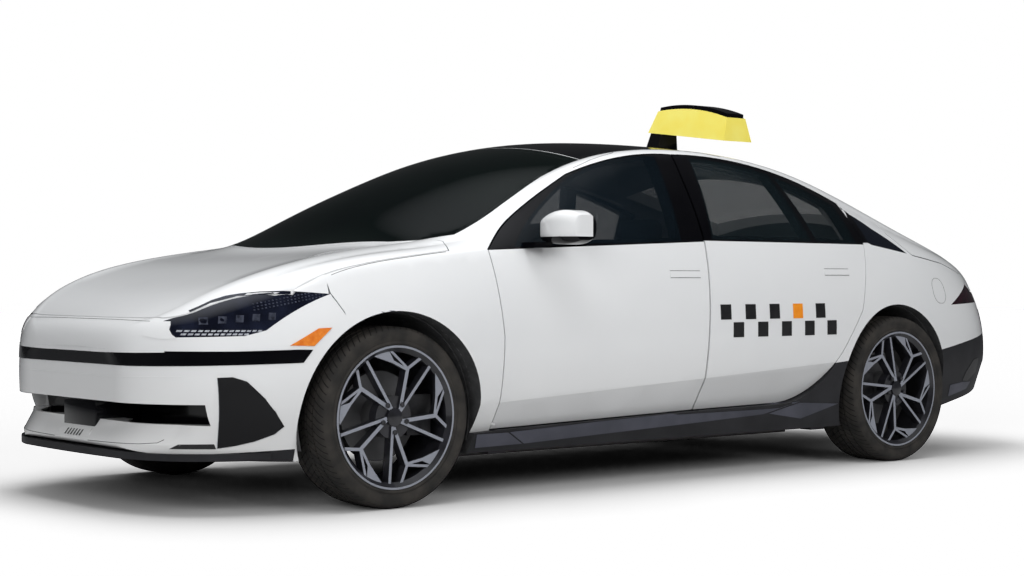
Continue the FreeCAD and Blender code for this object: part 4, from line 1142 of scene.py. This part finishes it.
def filled(piece, voxel):
    """Crowns the piece's faces, as foam does under its cover."""
    remesh = piece.modifiers.new("remesh", "REMESH")
    remesh.mode, remesh.voxel_size = "VOXEL", voxel
    settle(piece)
    start = [vert.co.copy() for vert in piece.data.vertices]
    cloth = piece.modifiers.new("cover", "CLOTH")
    cloth.settings.use_pressure = True
    cloth.settings.uniform_pressure_force = PRESSURE
    cloth.settings.effector_weights.gravity = 0
    for number in range(1, FRAMES + 1):
        scene.frame_set(number)
    settle(piece)
    scene.frame_set(1)
    for vert, origin in zip(piece.data.vertices, start):
        moved = vert.co - origin
        if moved.length > SWELL:
            vert.co = origin + moved * (SWELL / moved.length)


def seat(name, blocks, voxel, cad_node):
    """A padded piece from (low, high, lean) blocks, for a seat's solid."""
    made = bmesh.new()
    for low, high, lean in blocks:
        blocky(made, low, high, lean)
    rounded(made, PAD_EDGE, 3)
    piece = meshed(name, made)
    filled(piece, voxel)
    piece.data.materials.append(leather)
    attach(piece, "body")
    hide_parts(cad_node)
    told(smooth(piece, 70))


# %% front seats and rear bench
for side, mirror in SIDES.items():
    inner, outer = sorted((0.135 * mirror, 0.605 * mirror))
    rest_low, rest_high = sorted((0.245 * mirror, 0.495 * mirror))
    seat("front_seat_" + side, [
        ((-0.055, inner, 0.40), (0.285, outer, 0.545), 0.0),
        ((-0.215, inner, 0.50), (-0.115, outer, 0.985), 0.085),
        ((-0.335, rest_low, 1.03), (-0.262, rest_high, 1.14), 0.0),
    ], 0.014, "front_seats")
seat("rear_bench", [
    ((-0.845, -0.60, 0.40), (-0.445, 0.60, 0.545), 0.0),
    ((-0.995, -0.60, 0.50), (-0.895, 0.60, 0.915), 0.03),
    ((-1.04, 0.25, 0.94), (-0.965, 0.49, 1.05), 0.0),
    ((-1.04, -0.49, 0.94), (-0.965, -0.25, 1.05), 0.0),
], 0.018, "rear_seat")

# %% [markdown]
# ## Seat bases and screen
# The pads need bases and thin necks under the head rests, and the dashboard has a
# wide screen on a small stand. Behind dark glass, rounded blocks are enough.

# %% seat bases and necks
made = bmesh.new()
for mirror in SIDES.values():
    inner, outer = sorted((0.15 * mirror, 0.59 * mirror))
    blocky(made, (-0.20, inner, 0.308), (0.22, outer, 0.41))
    for y in (0.33, 0.41):
        neck_low, neck_high = sorted(((y - 0.006) * mirror, (y + 0.006) * mirror))
        blocky(made, (-0.308, neck_low, 0.97), (-0.296, neck_high, 1.05))
blocky(made, (-0.99, -0.59, 0.308), (-0.50, 0.59, 0.41))
rounded(made, 0.003)
told(smooth(place(made, "seat_bases", "body", [trim], "cabin_plastic"), 30))

# %% dashboard screen
made = bmesh.new()
blocky(made, (0.655, -0.16, 0.80), (0.668, 0.62, 0.935))
rounded(made, 0.005)
blocky(made, (0.668, 0.1, 0.82), (0.70, 0.4, 0.90))
told(smooth(place(made, "dashboard_screen", "body", [screen_black], "cabin_plastic"), 30))
